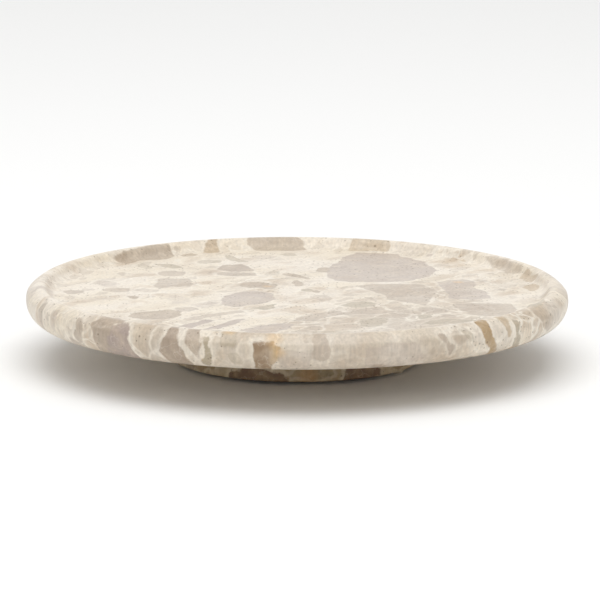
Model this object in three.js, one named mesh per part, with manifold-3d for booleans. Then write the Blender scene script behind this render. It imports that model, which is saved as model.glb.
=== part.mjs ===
// A marble lazy susan: a rimmed stone tray that turns on a ball ring bearing over a smaller stone base.
// Millimetres, +Z up. The origin is the middle of the plane that the three feet stand on.
import * as THREE from 'three';
import { mergeVertices } from 'three/addons/utils/BufferGeometryUtils.js';
import Module from 'manifold-3d';

const wasm = await Module();
wasm.setup();

// ---- Tray ----
const PLATE_DIAMETER = 305;
const PLATE_THICKNESS = 20;
const TRAY_DEPTH = 6;
const RIM_SLOPE_WIDTH = 10.7; // from the top of the rim inwards to the flat floor
const RIM_INNER_RADIUS = 4.5; // the round at the top of that slope
const CREST_RADIUS = 4; // the round on the outer side of the rim's top
const SHOULDER_RADIUS = 18; // the gentle curve that falls outwards
const BREAK_RADIUS = 2; // the tighter round between the shoulder and the face
const LOWER_EDGE_RADIUS = 10;
// Directions that the outer surface faces where two of its rounds meet: 0 is outwards, 90 is up.
const CREST_ANGLE = 60;
const SHOULDER_ANGLE = 40;
const FACE_TOP_ANGLE = 15;
const FACE_BOTTOM_ANGLE = -40;

// ---- Base and feet ----
const BASE_DIAMETER = 140;
const BASE_THICKNESS = 14;
const BASE_EDGE_RADIUS = 1;
const FOOT_DIAMETER = 8;
const FOOT_THICKNESS = 2;
const FOOT_FLAT_DIAMETER = 5;
const FOOT_INSET = 5; // from the base's side to the middle of a foot
const FOOT_ANGLES = [59, 180, -75]; // stuck on by hand, so not quite evenly spaced

// ---- Ring bearing ----
const BEARING_THICKNESS = 8.5;
const RING_STANDOFF = 0.6; // each ring stays this far from the stone that it turns against
const BALL_DIAMETER = 4;
const BALL_COUNT = 24;
const BALL_CIRCLE_DIAMETER = 100;
const RACE_GAP = 1.8; // between the two rings' facing walls
const OUTER_RING_WIDTH = 9.1;
const INNER_RING_WIDTH = 14.1;
const RING_CHAMFER = 0.5;
const GROOVE_CLEARANCE = 0.2;
const CAGE_THICKNESS = 1;
const CAGE_LAND = 0.8; // strip left above and below a ball's window
const WINDOW_CLEARANCE = 0.2;

// ---- Screws and inserts ----
const SCREW_COUNT = 4;
const SCREW_CLEARANCE = 0.15;
const RING_SCREW = { diameter: 3, headDiameter: 5.6, recess: 3, slot: 0.6, recessDepth: 0.9 };
const RING_SCREW_ENGAGEMENT = 4.1;
const RING_SCREW_FIRST_ANGLE = 45;
const BASE_SCREW = { diameter: 4, headDiameter: 8, recess: 4.4, slot: 0.9, recessDepth: 1.5 };
const BASE_SCREW_HEAD_HEIGHT = 2.6;
const BASE_SCREW_HEAD_FACE_DIAMETER = 6.4;
const BASE_SCREW_ENGAGEMENT = 2.75;
const BASE_SCREW_FIRST_ANGLE = 0;
const COUNTERBORE_DIAMETER = 10;
const COUNTERBORE_DEPTH = 5;
const INSERT_DIAMETER = 5;
const INSERT_WAIST_DIAMETER = 4.4;
const INSERT_LENGTH = 6;

// ---- How finely round things are drawn ----
const PLATE_SEGMENTS = 88;
const RING_SEGMENTS = 56;
const SMALL_SEGMENTS = 16;
const FOOT_SEGMENTS = 24;
const BALL_SEGMENTS = 12;
const ARC_STEP = 12; // degrees of an outline's arc to a facet, at most
const EDGE_ARC_STEP = 30; // the same, on an edge's small round
const OVERCUT = 1; // how far a cutter runs past the face that it opens
const WELD = 1e-4;

// ---- Heights and radii that follow ----
const BASE_BOTTOM = FOOT_THICKNESS;
const BASE_TOP = BASE_BOTTOM + BASE_THICKNESS;
const PLATE_BOTTOM = BASE_TOP + BEARING_THICKNESS;
const TRAY_FLOOR = PLATE_BOTTOM + PLATE_THICKNESS - TRAY_DEPTH;
const BALL_HEIGHT = (BASE_TOP + PLATE_BOTTOM) / 2;
const BALL_CIRCLE_RADIUS = BALL_CIRCLE_DIAMETER / 2;
const OUTER_RING_WALL = BALL_CIRCLE_RADIUS + RACE_GAP / 2;
const INNER_RING_WALL = BALL_CIRCLE_RADIUS - RACE_GAP / 2;
const RING_SCREW_CIRCLE = OUTER_RING_WALL + OUTER_RING_WIDTH / 2;
const BASE_SCREW_CIRCLE = INNER_RING_WALL - INNER_RING_WIDTH / 2;
const OUTER_RING_BOTTOM = BASE_TOP + RING_STANDOFF;
const INNER_RING_TOP = PLATE_BOTTOM - RING_STANDOFF;
const HEAD_SEAT = BASE_BOTTOM + COUNTERBORE_DEPTH;

const sine = (degrees) => Math.sin(THREE.MathUtils.degToRad(degrees));
const cosine = (degrees) => Math.cos(THREE.MathUtils.degToRad(degrees));

/** The point [x, y] on a circle about Z, with angles counted from the front (-Y) towards +X. */
function around(radius, degrees) {
  return [radius * sine(degrees), -radius * cosine(degrees)];
}

/** Evenly spaced angles in degrees. */
function evenAngles(count, first = 0) {
  return Array.from({ length: count }, (_, i) => first + (i * 360) / count);
}

/**
 * Adds arcs to an outline of [radius, height] points, each arc tangent to the one before.
 * An arc is [arcRadius, from, to]: the directions in degrees that the surface faces at its ends.
 * A negative radius makes a hollow arc.
 */
function addArcs(outline, arcs, step = ARC_STEP) {
  for (const [arcRadius, from, to] of arcs) {
    const [startR, startZ] = outline[outline.length - 1];
    const steps = Math.ceil(Math.abs(to - from) / step);
    for (let i = 1; i <= steps; i += 1) {
      const angle = from + ((to - from) * i) / steps;
      outline.push([
        startR + arcRadius * (cosine(angle) - cosine(from)),
        startZ + arcRadius * (sine(angle) - sine(from)),
      ]);
    }
  }
  return outline;
}

/** Turns an outline of [radius, height] points about Z. */
function turned(outline, segments) {
  const points = outline.map(([radius, height]) => new THREE.Vector2(radius, height));
  return new THREE.LatheGeometry(points, segments).rotateX(Math.PI / 2);
}

/** A round rod about Z from one height to another. */
function rod(radius, bottom, top) {
  return new THREE.CylinderGeometry(radius, radius, top - bottom, SMALL_SEGMENTS)
    .rotateX(Math.PI / 2)
    .translate(0, 0, (bottom + top) / 2);
}

/** The manifold-3d solid of a closed geometry. */
function toSolid(geometry) {
  const bare = geometry.clone();
  bare.deleteAttribute('normal');
  bare.deleteAttribute('uv');
  const welded = mergeVertices(bare, WELD);
  const corners = Array.from(welded.index.array);
  const triVerts = [];
  for (let i = 0; i < corners.length; i += 3) {
    const [a, b, c] = corners.slice(i, i + 3);
    if (a !== b && b !== c && c !== a) {
      triVerts.push(a, b, c);
    }
  }
  return new wasm.Manifold(new wasm.Mesh({
    numProp: 3,
    vertProperties: new Float32Array(welded.attributes.position.array),
    triVerts: new Uint32Array(triVerts),
  }));
}

/** A geometry with material cut away wherever a cutter's geometry reaches. */
function cut(body, cutters) {
  let solid = toSolid(body);
  for (const cutter of cutters) {
    solid = solid.subtract(toSolid(cutter));
  }
  const { vertProperties, triVerts } = solid.getMesh();
  const geometry = new THREE.BufferGeometry();
  geometry.setAttribute('position', new THREE.BufferAttribute(vertProperties, 3));
  geometry.setIndex(new THREE.BufferAttribute(triVerts, 1));
  const faceted = geometry.toNonIndexed();
  faceted.computeVertexNormals();
  return faceted;
}

/** Copies of a cutter's geometry at each angle on a circle about Z. */
function cuttersAround(cutter, circle, angles) {
  return angles.map((angle) => cutter.clone().translate(...around(circle, angle), 0));
}

const turntable = new THREE.Group();

/** Adds one named piece. A finish is { color, roughness, metalness } and may add opacity. */
function addPiece(name, geometry, finish, [x, y] = [0, 0]) {
  const mesh = new THREE.Mesh(geometry, new THREE.MeshStandardMaterial(finish));
  mesh.name = name;
  mesh.position.set(x, y, 0);
  turntable.add(mesh);
}

const MARBLE = { color: 0xd9cebd, roughness: 0.42, metalness: 0 };
const SHADED_MARBLE = { color: 0xc9baa4, roughness: 0.45, metalness: 0 };
const ALUMINIUM = { color: 0xc4c6c8, roughness: 0.38, metalness: 1 };
const STEEL = { color: 0xb9bcc0, roughness: 0.25, metalness: 1 };
const BRASS = { color: 0xc2a15a, roughness: 0.4, metalness: 1 };
const NYLON = { color: 0xe9e6dc, roughness: 0.5, metalness: 0 };
const CLEAR_RUBBER = { color: 0xe6e8e6, roughness: 0.2, metalness: 0, transparent: true, opacity: 0.45 };

const ringScrewAngles = evenAngles(SCREW_COUNT, RING_SCREW_FIRST_ANGLE);
const baseScrewAngles = evenAngles(SCREW_COUNT, BASE_SCREW_FIRST_ANGLE);

/** The tray's half outline, from the axis under it, around the rim and back to the axis on its floor. */
function plateOutline() {
  const roundedHeight = LOWER_EDGE_RADIUS * (1 + sine(FACE_BOTTOM_ANGLE))
    + BREAK_RADIUS * (sine(SHOULDER_ANGLE) - sine(FACE_TOP_ANGLE))
    + SHOULDER_RADIUS * (sine(CREST_ANGLE) - sine(SHOULDER_ANGLE))
    + CREST_RADIUS * (1 - sine(CREST_ANGLE));
  const faceRadius = (PLATE_THICKNESS - roundedHeight) / (sine(FACE_TOP_ANGLE) - sine(FACE_BOTTOM_ANGLE));
  const undercut = faceRadius * (1 - cosine(FACE_BOTTOM_ANGLE))
    + LOWER_EDGE_RADIUS * cosine(FACE_BOTTOM_ANGLE);
  // Two tangent arcs, one round and one hollow, carry the inner slope down to the floor.
  const slopeAngle = THREE.MathUtils.radToDeg(2 * Math.atan2(TRAY_DEPTH, RIM_SLOPE_WIDTH));
  const coveRadius = RIM_SLOPE_WIDTH / sine(slopeAngle) - RIM_INNER_RADIUS;
  const outline = [[0, PLATE_BOTTOM], [PLATE_DIAMETER / 2 - undercut, PLATE_BOTTOM]];
  addArcs(outline, [
    [LOWER_EDGE_RADIUS, -90, FACE_BOTTOM_ANGLE],
    [faceRadius, FACE_BOTTOM_ANGLE, 0],
    [faceRadius, 0, FACE_TOP_ANGLE],
    [BREAK_RADIUS, FACE_TOP_ANGLE, SHOULDER_ANGLE],
    [SHOULDER_RADIUS, SHOULDER_ANGLE, CREST_ANGLE],
    [CREST_RADIUS, CREST_ANGLE, 90],
    [RIM_INNER_RADIUS, 90, 90 + slopeAngle],
    [-coveRadius, 90 + slopeAngle, 90],
  ]);
  outline[outline.length - 1][1] = TRAY_FLOOR;
  outline.push([0, TRAY_FLOOR]);
  return outline;
}

function addPlate() {
  const socketRadius = INSERT_DIAMETER / 2 + SCREW_CLEARANCE;
  const socket = rod(socketRadius, PLATE_BOTTOM - OVERCUT, PLATE_BOTTOM + INSERT_LENGTH);
  const sockets = cuttersAround(socket, RING_SCREW_CIRCLE, ringScrewAngles);
  addPiece('turntable_plate', cut(turned(plateOutline(), PLATE_SEGMENTS), sockets), MARBLE);
}

function addBase() {
  const outline = [[0, BASE_BOTTOM], [BASE_DIAMETER / 2 - BASE_EDGE_RADIUS, BASE_BOTTOM]];
  addArcs(outline, [[BASE_EDGE_RADIUS, -90, 0]], EDGE_ARC_STEP);
  outline.push([BASE_DIAMETER / 2, BASE_TOP - BASE_EDGE_RADIUS]);
  addArcs(outline, [[BASE_EDGE_RADIUS, 0, 90]], EDGE_ARC_STEP);
  outline.push([0, BASE_TOP]);
  const throughRadius = BASE_SCREW.diameter / 2 + SCREW_CLEARANCE;
  const through = rod(throughRadius, BASE_BOTTOM - OVERCUT, BASE_TOP + OVERCUT);
  const counterbore = rod(COUNTERBORE_DIAMETER / 2, BASE_BOTTOM - OVERCUT, HEAD_SEAT);
  const holes = [through, counterbore].flatMap(
    (cutter) => cuttersAround(cutter, BASE_SCREW_CIRCLE, baseScrewAngles),
  );
  addPiece('base_disc', cut(turned(outline, PLATE_SEGMENTS), holes), SHADED_MARBLE);
}

function addFeet() {
  const rim = FOOT_DIAMETER / 2;
  const flat = FOOT_FLAT_DIAMETER / 2;
  const outline = [[0, 0], [flat, 0]];
  for (const angle of [-60, -30, 0]) {
    outline.push([
      flat + (rim - flat) * cosine(angle),
      FOOT_THICKNESS * (1 + sine(angle)),
    ]);
  }
  outline.push([0, FOOT_THICKNESS]);
  const foot = turned(outline, FOOT_SEGMENTS);
  FOOT_ANGLES.forEach((angle, i) => {
    const place = around(BASE_DIAMETER / 2 - FOOT_INSET, angle);
    addPiece(`bumper_foot_${i + 1}`, foot, CLEAR_RUBBER, place);
  });
}

/** The angle, from the level, at which the ball groove opens out of a ring's wall. */
function grooveOpening() {
  const grooveRadius = BALL_DIAMETER / 2 + GROOVE_CLEARANCE;
  return THREE.MathUtils.radToDeg(Math.acos(RACE_GAP / 2 / grooveRadius));
}

/** Points of the ball groove's circle between two angles, where 0 is outwards from the ball. */
function groovePoints(from, to) {
  const grooveRadius = BALL_DIAMETER / 2 + GROOVE_CLEARANCE;
  const start = [
    BALL_CIRCLE_RADIUS + grooveRadius * cosine(from),
    BALL_HEIGHT + grooveRadius * sine(from),
  ];
  return addArcs([start], [[grooveRadius, from, to]]);
}

function addOuterRing() {
  const outside = OUTER_RING_WALL + OUTER_RING_WIDTH;
  const open = grooveOpening();
  const outline = [
    [OUTER_RING_WALL, OUTER_RING_BOTTOM],
    [outside - RING_CHAMFER, OUTER_RING_BOTTOM],
    [outside, OUTER_RING_BOTTOM + RING_CHAMFER],
    [outside, PLATE_BOTTOM - RING_CHAMFER],
    [outside - RING_CHAMFER, PLATE_BOTTOM],
    [OUTER_RING_WALL, PLATE_BOTTOM],
    ...groovePoints(open, -open),
    [OUTER_RING_WALL, OUTER_RING_BOTTOM],
  ];
  const radius = RING_SCREW.diameter / 2 + SCREW_CLEARANCE;
  const headRadius = RING_SCREW.headDiameter / 2 + SCREW_CLEARANCE;
  const countersink = turned([
    [0, OUTER_RING_BOTTOM - OVERCUT],
    [headRadius + OVERCUT, OUTER_RING_BOTTOM - OVERCUT],
    [radius, OUTER_RING_BOTTOM + headRadius - radius],
    [radius, PLATE_BOTTOM + OVERCUT],
    [0, PLATE_BOTTOM + OVERCUT],
  ], SMALL_SEGMENTS);
  const holes = cuttersAround(countersink, RING_SCREW_CIRCLE, ringScrewAngles);
  addPiece('bearing_outer_ring', cut(turned(outline, RING_SEGMENTS), holes), ALUMINIUM);
}

function addInnerRing() {
  const bore = INNER_RING_WALL - INNER_RING_WIDTH;
  const open = grooveOpening();
  const lower = [
    [bore, BASE_TOP],
    [INNER_RING_WALL, BASE_TOP],
    ...groovePoints(180 + open, 180),
    [bore, BALL_HEIGHT],
    [bore, BASE_TOP],
  ];
  const upper = [
    [bore, BALL_HEIGHT],
    ...groovePoints(180, 180 - open),
    [INNER_RING_WALL, INNER_RING_TOP],
    [bore + RING_CHAMFER, INNER_RING_TOP],
    [bore, INNER_RING_TOP - RING_CHAMFER],
    [bore, BALL_HEIGHT],
  ];
  const hole = rod(BASE_SCREW.diameter / 2 + SCREW_CLEARANCE, BASE_TOP - OVERCUT, PLATE_BOTTOM);
  const holes = cuttersAround(hole, BASE_SCREW_CIRCLE, baseScrewAngles);
  addPiece('bearing_inner_lower', cut(turned(lower, RING_SEGMENTS), holes), ALUMINIUM);
  addPiece('bearing_inner_upper', cut(turned(upper, RING_SEGMENTS), holes), ALUMINIUM);
}

function addCageAndBalls() {
  const inner = BALL_CIRCLE_RADIUS - CAGE_THICKNESS / 2;
  const outer = BALL_CIRCLE_RADIUS + CAGE_THICKNESS / 2;
  const windowRadius = BALL_DIAMETER / 2 + WINDOW_CLEARANCE;
  const halfHeight = windowRadius + CAGE_LAND;
  const strip = turned([
    [inner, BALL_HEIGHT - halfHeight],
    [outer, BALL_HEIGHT - halfHeight],
    [outer, BALL_HEIGHT + halfHeight],
    [inner, BALL_HEIGHT + halfHeight],
    [inner, BALL_HEIGHT - halfHeight],
  ], RING_SEGMENTS);
  const ballAngles = evenAngles(BALL_COUNT);
  const windowDepth = CAGE_THICKNESS + 2 * OVERCUT;
  const window = new THREE.CylinderGeometry(windowRadius, windowRadius, windowDepth, SMALL_SEGMENTS);
  const windows = ballAngles.map((angle) => {
    const [x, y] = around(BALL_CIRCLE_RADIUS, angle);
    return window.clone().rotateZ(THREE.MathUtils.degToRad(angle)).translate(x, y, BALL_HEIGHT);
  });
  addPiece('ball_cage', cut(strip, windows), NYLON);
  const ball = new THREE.SphereGeometry(BALL_DIAMETER / 2, BALL_SEGMENTS, BALL_SEGMENTS / 2)
    .rotateX(Math.PI / 2)
    .translate(0, 0, BALL_HEIGHT);
  ballAngles.forEach((angle, i) => {
    const number = String(i + 1).padStart(2, '0');
    addPiece(`bearing_ball_${number}`, ball, STEEL, around(BALL_CIRCLE_RADIUS, angle));
  });
}

/** A screw about Z with a cross recess cut into its head from below. */
function crossed(outline, screw, headBottom) {
  const height = screw.recessDepth + OVERCUT;
  const arm = new THREE.BoxGeometry(screw.recess, screw.slot, height)
    .translate(0, 0, headBottom + screw.recessDepth - height / 2);
  const crossArm = arm.clone().rotateZ(Math.PI / 2);
  return cut(turned(outline, SMALL_SEGMENTS), [arm, crossArm]);
}

function addRingScrews() {
  const radius = RING_SCREW.diameter / 2;
  const headRadius = RING_SCREW.headDiameter / 2;
  const tip = PLATE_BOTTOM + RING_SCREW_ENGAGEMENT;
  const screw = crossed([
    [0, OUTER_RING_BOTTOM],
    [headRadius, OUTER_RING_BOTTOM],
    [radius, OUTER_RING_BOTTOM + headRadius - radius],
    [radius, tip],
    [0, tip],
  ], RING_SCREW, OUTER_RING_BOTTOM);
  ringScrewAngles.forEach((angle, i) => {
    addPiece(`ring_screw_${i + 1}`, screw, STEEL, around(RING_SCREW_CIRCLE, angle));
  });
}

function addBaseScrews() {
  const radius = BASE_SCREW.diameter / 2;
  const headRadius = BASE_SCREW.headDiameter / 2;
  const headBottom = HEAD_SEAT - BASE_SCREW_HEAD_HEIGHT;
  const tip = BALL_HEIGHT + BASE_SCREW_ENGAGEMENT;
  const screw = crossed([
    [0, headBottom],
    [BASE_SCREW_HEAD_FACE_DIAMETER / 2, headBottom],
    [headRadius, headBottom + BASE_SCREW_HEAD_HEIGHT / 2],
    [headRadius, HEAD_SEAT],
    [radius, HEAD_SEAT],
    [radius, tip],
    [0, tip],
  ], BASE_SCREW, headBottom);
  baseScrewAngles.forEach((angle, i) => {
    addPiece(`base_screw_${i + 1}`, screw, STEEL, around(BASE_SCREW_CIRCLE, angle));
  });
}

function addInserts() {
  const bore = RING_SCREW.diameter / 2 + SCREW_CLEARANCE;
  const outside = INSERT_DIAMETER / 2;
  const waist = INSERT_WAIST_DIAMETER / 2;
  const third = INSERT_LENGTH / 3;
  const insert = turned([
    [bore, PLATE_BOTTOM],
    [outside, PLATE_BOTTOM],
    [outside, PLATE_BOTTOM + third],
    [waist, PLATE_BOTTOM + third],
    [waist, PLATE_BOTTOM + 2 * third],
    [outside, PLATE_BOTTOM + 2 * third],
    [outside, PLATE_BOTTOM + INSERT_LENGTH],
    [bore, PLATE_BOTTOM + INSERT_LENGTH],
    [bore, PLATE_BOTTOM],
  ], SMALL_SEGMENTS);
  ringScrewAngles.forEach((angle, i) => {
    addPiece(`plate_insert_${i + 1}`, insert, BRASS, around(RING_SCREW_CIRCLE, angle));
  });
}

addPlate();
addBase();
addFeet();
addOuterRing();
addInnerRing();
addCageAndBalls();
addInserts();
addRingScrews();
addBaseScrews();

export default turntable;
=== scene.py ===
"""The finished look of a marble lazy susan turntable, built around its fixed CAD frame.

The tray and the base are turned from honed breccia marble, a cream stone full of broken taupe and
brown pieces. Between them is an aluminium ring bearing with steel balls, and the base stands on three
clear bumper feet. Everything is in metres in the frame of the CAD model. Sizes that a maker would
read off a drawing are in millimetres, and are turned to metres where a mesh is made.
"""

import logging
import math
from collections.abc import Mapping, Sequence
from dataclasses import dataclass
from enum import Enum

import bpy
import numpy as np
from bpy.types import Material, Mesh, Node, NodeSocket, NodeTree, Object
from mathutils import Matrix, Vector


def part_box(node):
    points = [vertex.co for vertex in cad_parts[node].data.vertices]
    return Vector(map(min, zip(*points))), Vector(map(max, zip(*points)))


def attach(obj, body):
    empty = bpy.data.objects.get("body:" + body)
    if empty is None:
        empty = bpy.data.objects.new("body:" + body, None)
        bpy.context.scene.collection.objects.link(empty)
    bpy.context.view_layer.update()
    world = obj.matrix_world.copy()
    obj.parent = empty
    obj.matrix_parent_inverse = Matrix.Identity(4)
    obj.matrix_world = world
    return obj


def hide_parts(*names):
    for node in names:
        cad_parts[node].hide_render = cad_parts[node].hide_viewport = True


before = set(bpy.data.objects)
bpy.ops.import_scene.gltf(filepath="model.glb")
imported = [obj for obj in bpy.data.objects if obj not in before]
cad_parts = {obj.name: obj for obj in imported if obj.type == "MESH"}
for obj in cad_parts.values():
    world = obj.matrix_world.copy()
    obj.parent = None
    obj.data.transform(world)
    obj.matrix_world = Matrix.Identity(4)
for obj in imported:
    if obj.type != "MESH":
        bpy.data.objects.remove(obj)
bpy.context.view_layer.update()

LOG = logging.getLogger("turntable")
MM = 0.001
NodeValue = float | Sequence[float] | NodeSocket
Point = tuple[float, float]
Place = tuple[float, float, float]

# A cutter stands this far past the faces that it cuts, in mm, and is turned in this many steps.
OVERCUT = 1.0
CUTTER_SEGMENTS = 32

# Edges that turn by more than this many degrees are drawn sharp.
SHARP_ABOVE = 35.0

# Holes whose edges would fall exactly on edges of the mesh are turned by this many degrees, because
# the boolean leaves slits there. It moves them by less than 0.04 mm.
OFF_THE_EDGES = 0.05


class Body(Enum):
    """The moving bodies of the CAD frame."""

    BASE = "base"
    TURNTABLE = "turntable"
    CAGE = "cage"


class Side(Enum):
    """The side of a slab that a clast's outline is drawn on."""

    TOP = "top"
    WALL = "wall"


class Tone(Enum):
    """What a broken piece in the marble looks like, as its place on the colour ramp of the pieces."""

    TAUPE = 0.0
    MAUVE = 0.25
    BROWN = 0.5
    GOLD = 0.75
    OLIVE = 1.0


class Field(Enum):
    """The numbers that StonePattern stores at a mesh's points and the marble's material reads."""

    DEPTH = "clast_depth"
    TONE = "clast_tone"
    STRENGTH = "clast_strength"
    RUST = "rust"
    PACKED = "packed"
    # Patches of painted shade, where the marble is darkened as shade would darken it.
    SHADED = "shaded"


class Step(Enum):
    """A step of a material's arithmetic: the node's type and settings, its inputs and its output.

    Sockets 6 and 7 and output 2 are the colour ones of the Mix node. RAMP is a smooth step from 0
    at its second input to 1 at its third, or down if the second is the larger.
    """

    NOISE = ("ShaderNodeTexNoise", {}, ("Vector", "Scale", "Detail"), "Fac")
    RAMP = (
        "ShaderNodeMapRange",
        {"interpolation_type": "SMOOTHSTEP"},
        ("Value", "From Min", "From Max"),
        "Result",
    )
    MIX = ("ShaderNodeMix", {"data_type": "RGBA"}, (0, 6, 7), 2)
    ADD = ("ShaderNodeMath", {"operation": "ADD"}, (0, 1), "Value")
    SUBTRACT = ("ShaderNodeMath", {"operation": "SUBTRACT"}, (0, 1), "Value")
    MULTIPLY = ("ShaderNodeMath", {"operation": "MULTIPLY"}, (0, 1), "Value")
    MULTIPLY_ADD = ("ShaderNodeMath", {"operation": "MULTIPLY_ADD"}, (0, 1, 2), "Value")
    ABSOLUTE = ("ShaderNodeMath", {"operation": "ABSOLUTE"}, (0,), "Value")


Painted = Mapping[Field, NodeSocket]


# ---------------------------------------------------------------------------------------------------
# Colours and nodes


def linear(code: str, brightness: float = 1.0) -> tuple[float, float, float, float]:
    """Turns an sRGB hex colour to linear light.

    Args:
        code: six hex digits, such as "d9cebd".
        brightness: what its linear light is multiplied by.

    Returns:
        Red, green, blue and an alpha of 1.
    """
    channels = np.array([int(code[i : i + 2], 16) for i in (0, 2, 4)]) / 255.0
    lit = np.where(channels <= 0.04045, channels / 12.92, ((channels + 0.055) / 1.055) ** 2.4)
    red, green, blue = (float(value) * brightness for value in lit)
    return red, green, blue, 1.0


def add_node(
    tree: NodeTree,
    kind: str,
    settings: Mapping[str, object] | None = None,
    inputs: Mapping[str | int, NodeValue] | None = None,
) -> Node:
    """Adds a node with its settings and its links.

    Args:
        tree: the material's node tree.
        kind: the node's type name.
        settings: properties of the node and their values.
        inputs: sockets, by name or number, and the value or the output socket that each takes.

    Returns:
        The new node.
    """
    node = tree.nodes.new(kind)
    for name, value in (settings or {}).items():
        setattr(node, name, value)
    for socket, value in (inputs or {}).items():
        if isinstance(value, NodeSocket):
            tree.links.new(value, node.inputs[socket])
        else:
            node.inputs[socket].default_value = value
    return node


def wire(tree: NodeTree, step: Step, *values: NodeValue) -> NodeSocket:
    """Adds the node of one step of arithmetic.

    Args:
        tree: the material's node tree.
        step: the step.
        values: what the step's inputs take, in order.

    Returns:
        The node's output.
    """
    kind, settings, sockets, output = step.value
    return add_node(tree, kind, settings, dict(zip(sockets, values, strict=True))).outputs[output]


def new_material(name: str, sockets: Mapping[str, NodeValue]) -> tuple[Material, Node]:
    """Makes a material with one surface shader.

    Args:
        name: the material's name.
        sockets: values that are the same all over, set on the shader's own sockets.

    Returns:
        The material and its shader node.
    """
    material = bpy.data.materials.new(name)
    material.use_nodes = True
    tree = material.node_tree
    tree.nodes.clear()
    shader = add_node(tree, "ShaderNodeBsdfPrincipled", inputs=sockets)
    add_node(tree, "ShaderNodeOutputMaterial", inputs={"Surface": shader.outputs["BSDF"]})
    return material, shader


# ---------------------------------------------------------------------------------------------------
# Shapes


@dataclass(frozen=True)
class Arc:
    """A round stretch of an outline, tangent to the stretch before it.

    radius is in mm and is negative on a hollow arc. start and end are the directions in degrees that
    the surface faces at the arc's ends: 0 is outwards, 90 is up and -90 is down.
    """

    radius: float
    start: float
    end: float


def arcs_from(start: Point, arcs: Sequence[Arc], spacing: float) -> np.ndarray:
    """Works out a chain of tangent arcs.

    A point of an arc is the arc's first point plus the radius times the change of
    (cosine, sine) of the direction that the surface faces.

    Args:
        start: radius and height in mm of the chain's first point.
        arcs: the arcs in order.
        spacing: the most that two points may be apart, in mm.

    Returns:
        Points (radius, height) in mm, one to a row, the first one included.
    """
    runs = [np.array([start])]
    for arc in arcs:
        turn = math.radians(arc.end - arc.start)
        steps = max(2, math.ceil(abs(arc.radius * turn) / spacing))
        facing = np.radians(arc.start) + turn * np.arange(1, steps + 1) / steps
        first = np.array([math.cos(math.radians(arc.start)), math.sin(math.radians(arc.start))])
        runs.append(runs[-1][-1] + arc.radius * (np.stack([np.cos(facing), np.sin(facing)], 1) - first))
    return np.concatenate(runs)


def straight(start: Point, end: Point, spacing: float) -> np.ndarray:
    """Works out evenly spaced points on a straight line.

    Args:
        start: radius and height in mm of the first point.
        end: the same where the line ends. This point is not included.
        spacing: the most that two points may be apart, in mm.

    Returns:
        Points (radius, height) in mm, one to a row.
    """
    steps = max(1, math.ceil(math.dist(start, end) / spacing))
    share = np.arange(steps)[:, None] / steps
    return np.array(start) * (1 - share) + np.array(end) * share


def turned_mesh(name: str, outline: np.ndarray, segments: int, centre: Point = (0.0, 0.0)) -> Mesh:
    """Turns an outline about an upright axis into a closed mesh.

    The surface is a grid of two parameters, the place along the outline and the angle a about the
    axis: x = r sin a, y = -r cos a, z = height. An outline that starts and ends on the axis gets one
    point for each pole, and any other outline closes on itself.

    Args:
        name: the mesh's name.
        outline: rows (radius, height) in mm, with the solid on the left of the way along it.
        segments: how many steps the turn has, a multiple of four.
        centre: x and y in mm of the axis.

    Returns:
        The mesh, in metres, with its faces pointing out of the solid and smooth shading.
    """
    poles = outline[0, 0] == 0.0
    rows = outline[1:-1] if poles else outline
    angle = 2 * math.pi * np.arange(segments) / segments
    x = centre[0] + np.outer(rows[:, 0], np.sin(angle))
    y = centre[1] - np.outer(rows[:, 0], np.cos(angle))
    z = np.repeat(rows[:, 1:], segments, axis=1)
    points = np.stack([x, y, z], axis=-1).reshape(-1, 3)
    number = np.arange(len(rows) * segments).reshape(len(rows), segments)
    low = number[:-1] if poles else number
    high = number[1:] if poles else np.roll(number, -1, axis=0)
    quads = np.stack([low, np.roll(low, -1, 1), np.roll(high, -1, 1), high], axis=-1).reshape(-1, 4)
    corners = quads.ravel()
    sizes = np.full(len(quads), 4)
    if poles:
        ends = np.array([[*centre, outline[0, 1]], [*centre, outline[-1, 1]]])
        bottom, top = len(points), len(points) + 1
        points = np.concatenate([points, ends])
        first, last = number[0], number[-1]
        under = np.stack([np.full(segments, bottom), np.roll(first, -1), first], axis=-1)
        over = np.stack([last, np.roll(last, -1), np.full(segments, top)], axis=-1)
        corners = np.concatenate([corners, under.ravel(), over.ravel()])
        sizes = np.concatenate([sizes, np.full(2 * segments, 3)])
    mesh = bpy.data.meshes.new(name)
    mesh.vertices.add(len(points))
    mesh.vertices.foreach_set("co", (points * MM).astype(np.float32).ravel())
    mesh.loops.add(len(corners))
    mesh.loops.foreach_set("vertex_index", corners.astype(np.int32))
    mesh.polygons.add(len(sizes))
    mesh.polygons.foreach_set("loop_start", (np.cumsum(sizes) - sizes).astype(np.int32))
    mesh.update(calc_edges=True)
    mesh.validate()
    mesh.shade_smooth()
    return mesh


def new_piece(name: str, mesh: Mesh) -> Object:
    """Puts a mesh into the scene as a piece at the origin.

    Args:
        name: the piece's name.
        mesh: its mesh, with its place in it.

    Returns:
        The piece.
    """
    mesh.set_sharp_from_angle(angle=math.radians(SHARP_ABOVE))
    piece = bpy.data.objects.new(name, mesh)
    bpy.context.scene.collection.objects.link(piece)
    return piece


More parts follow.
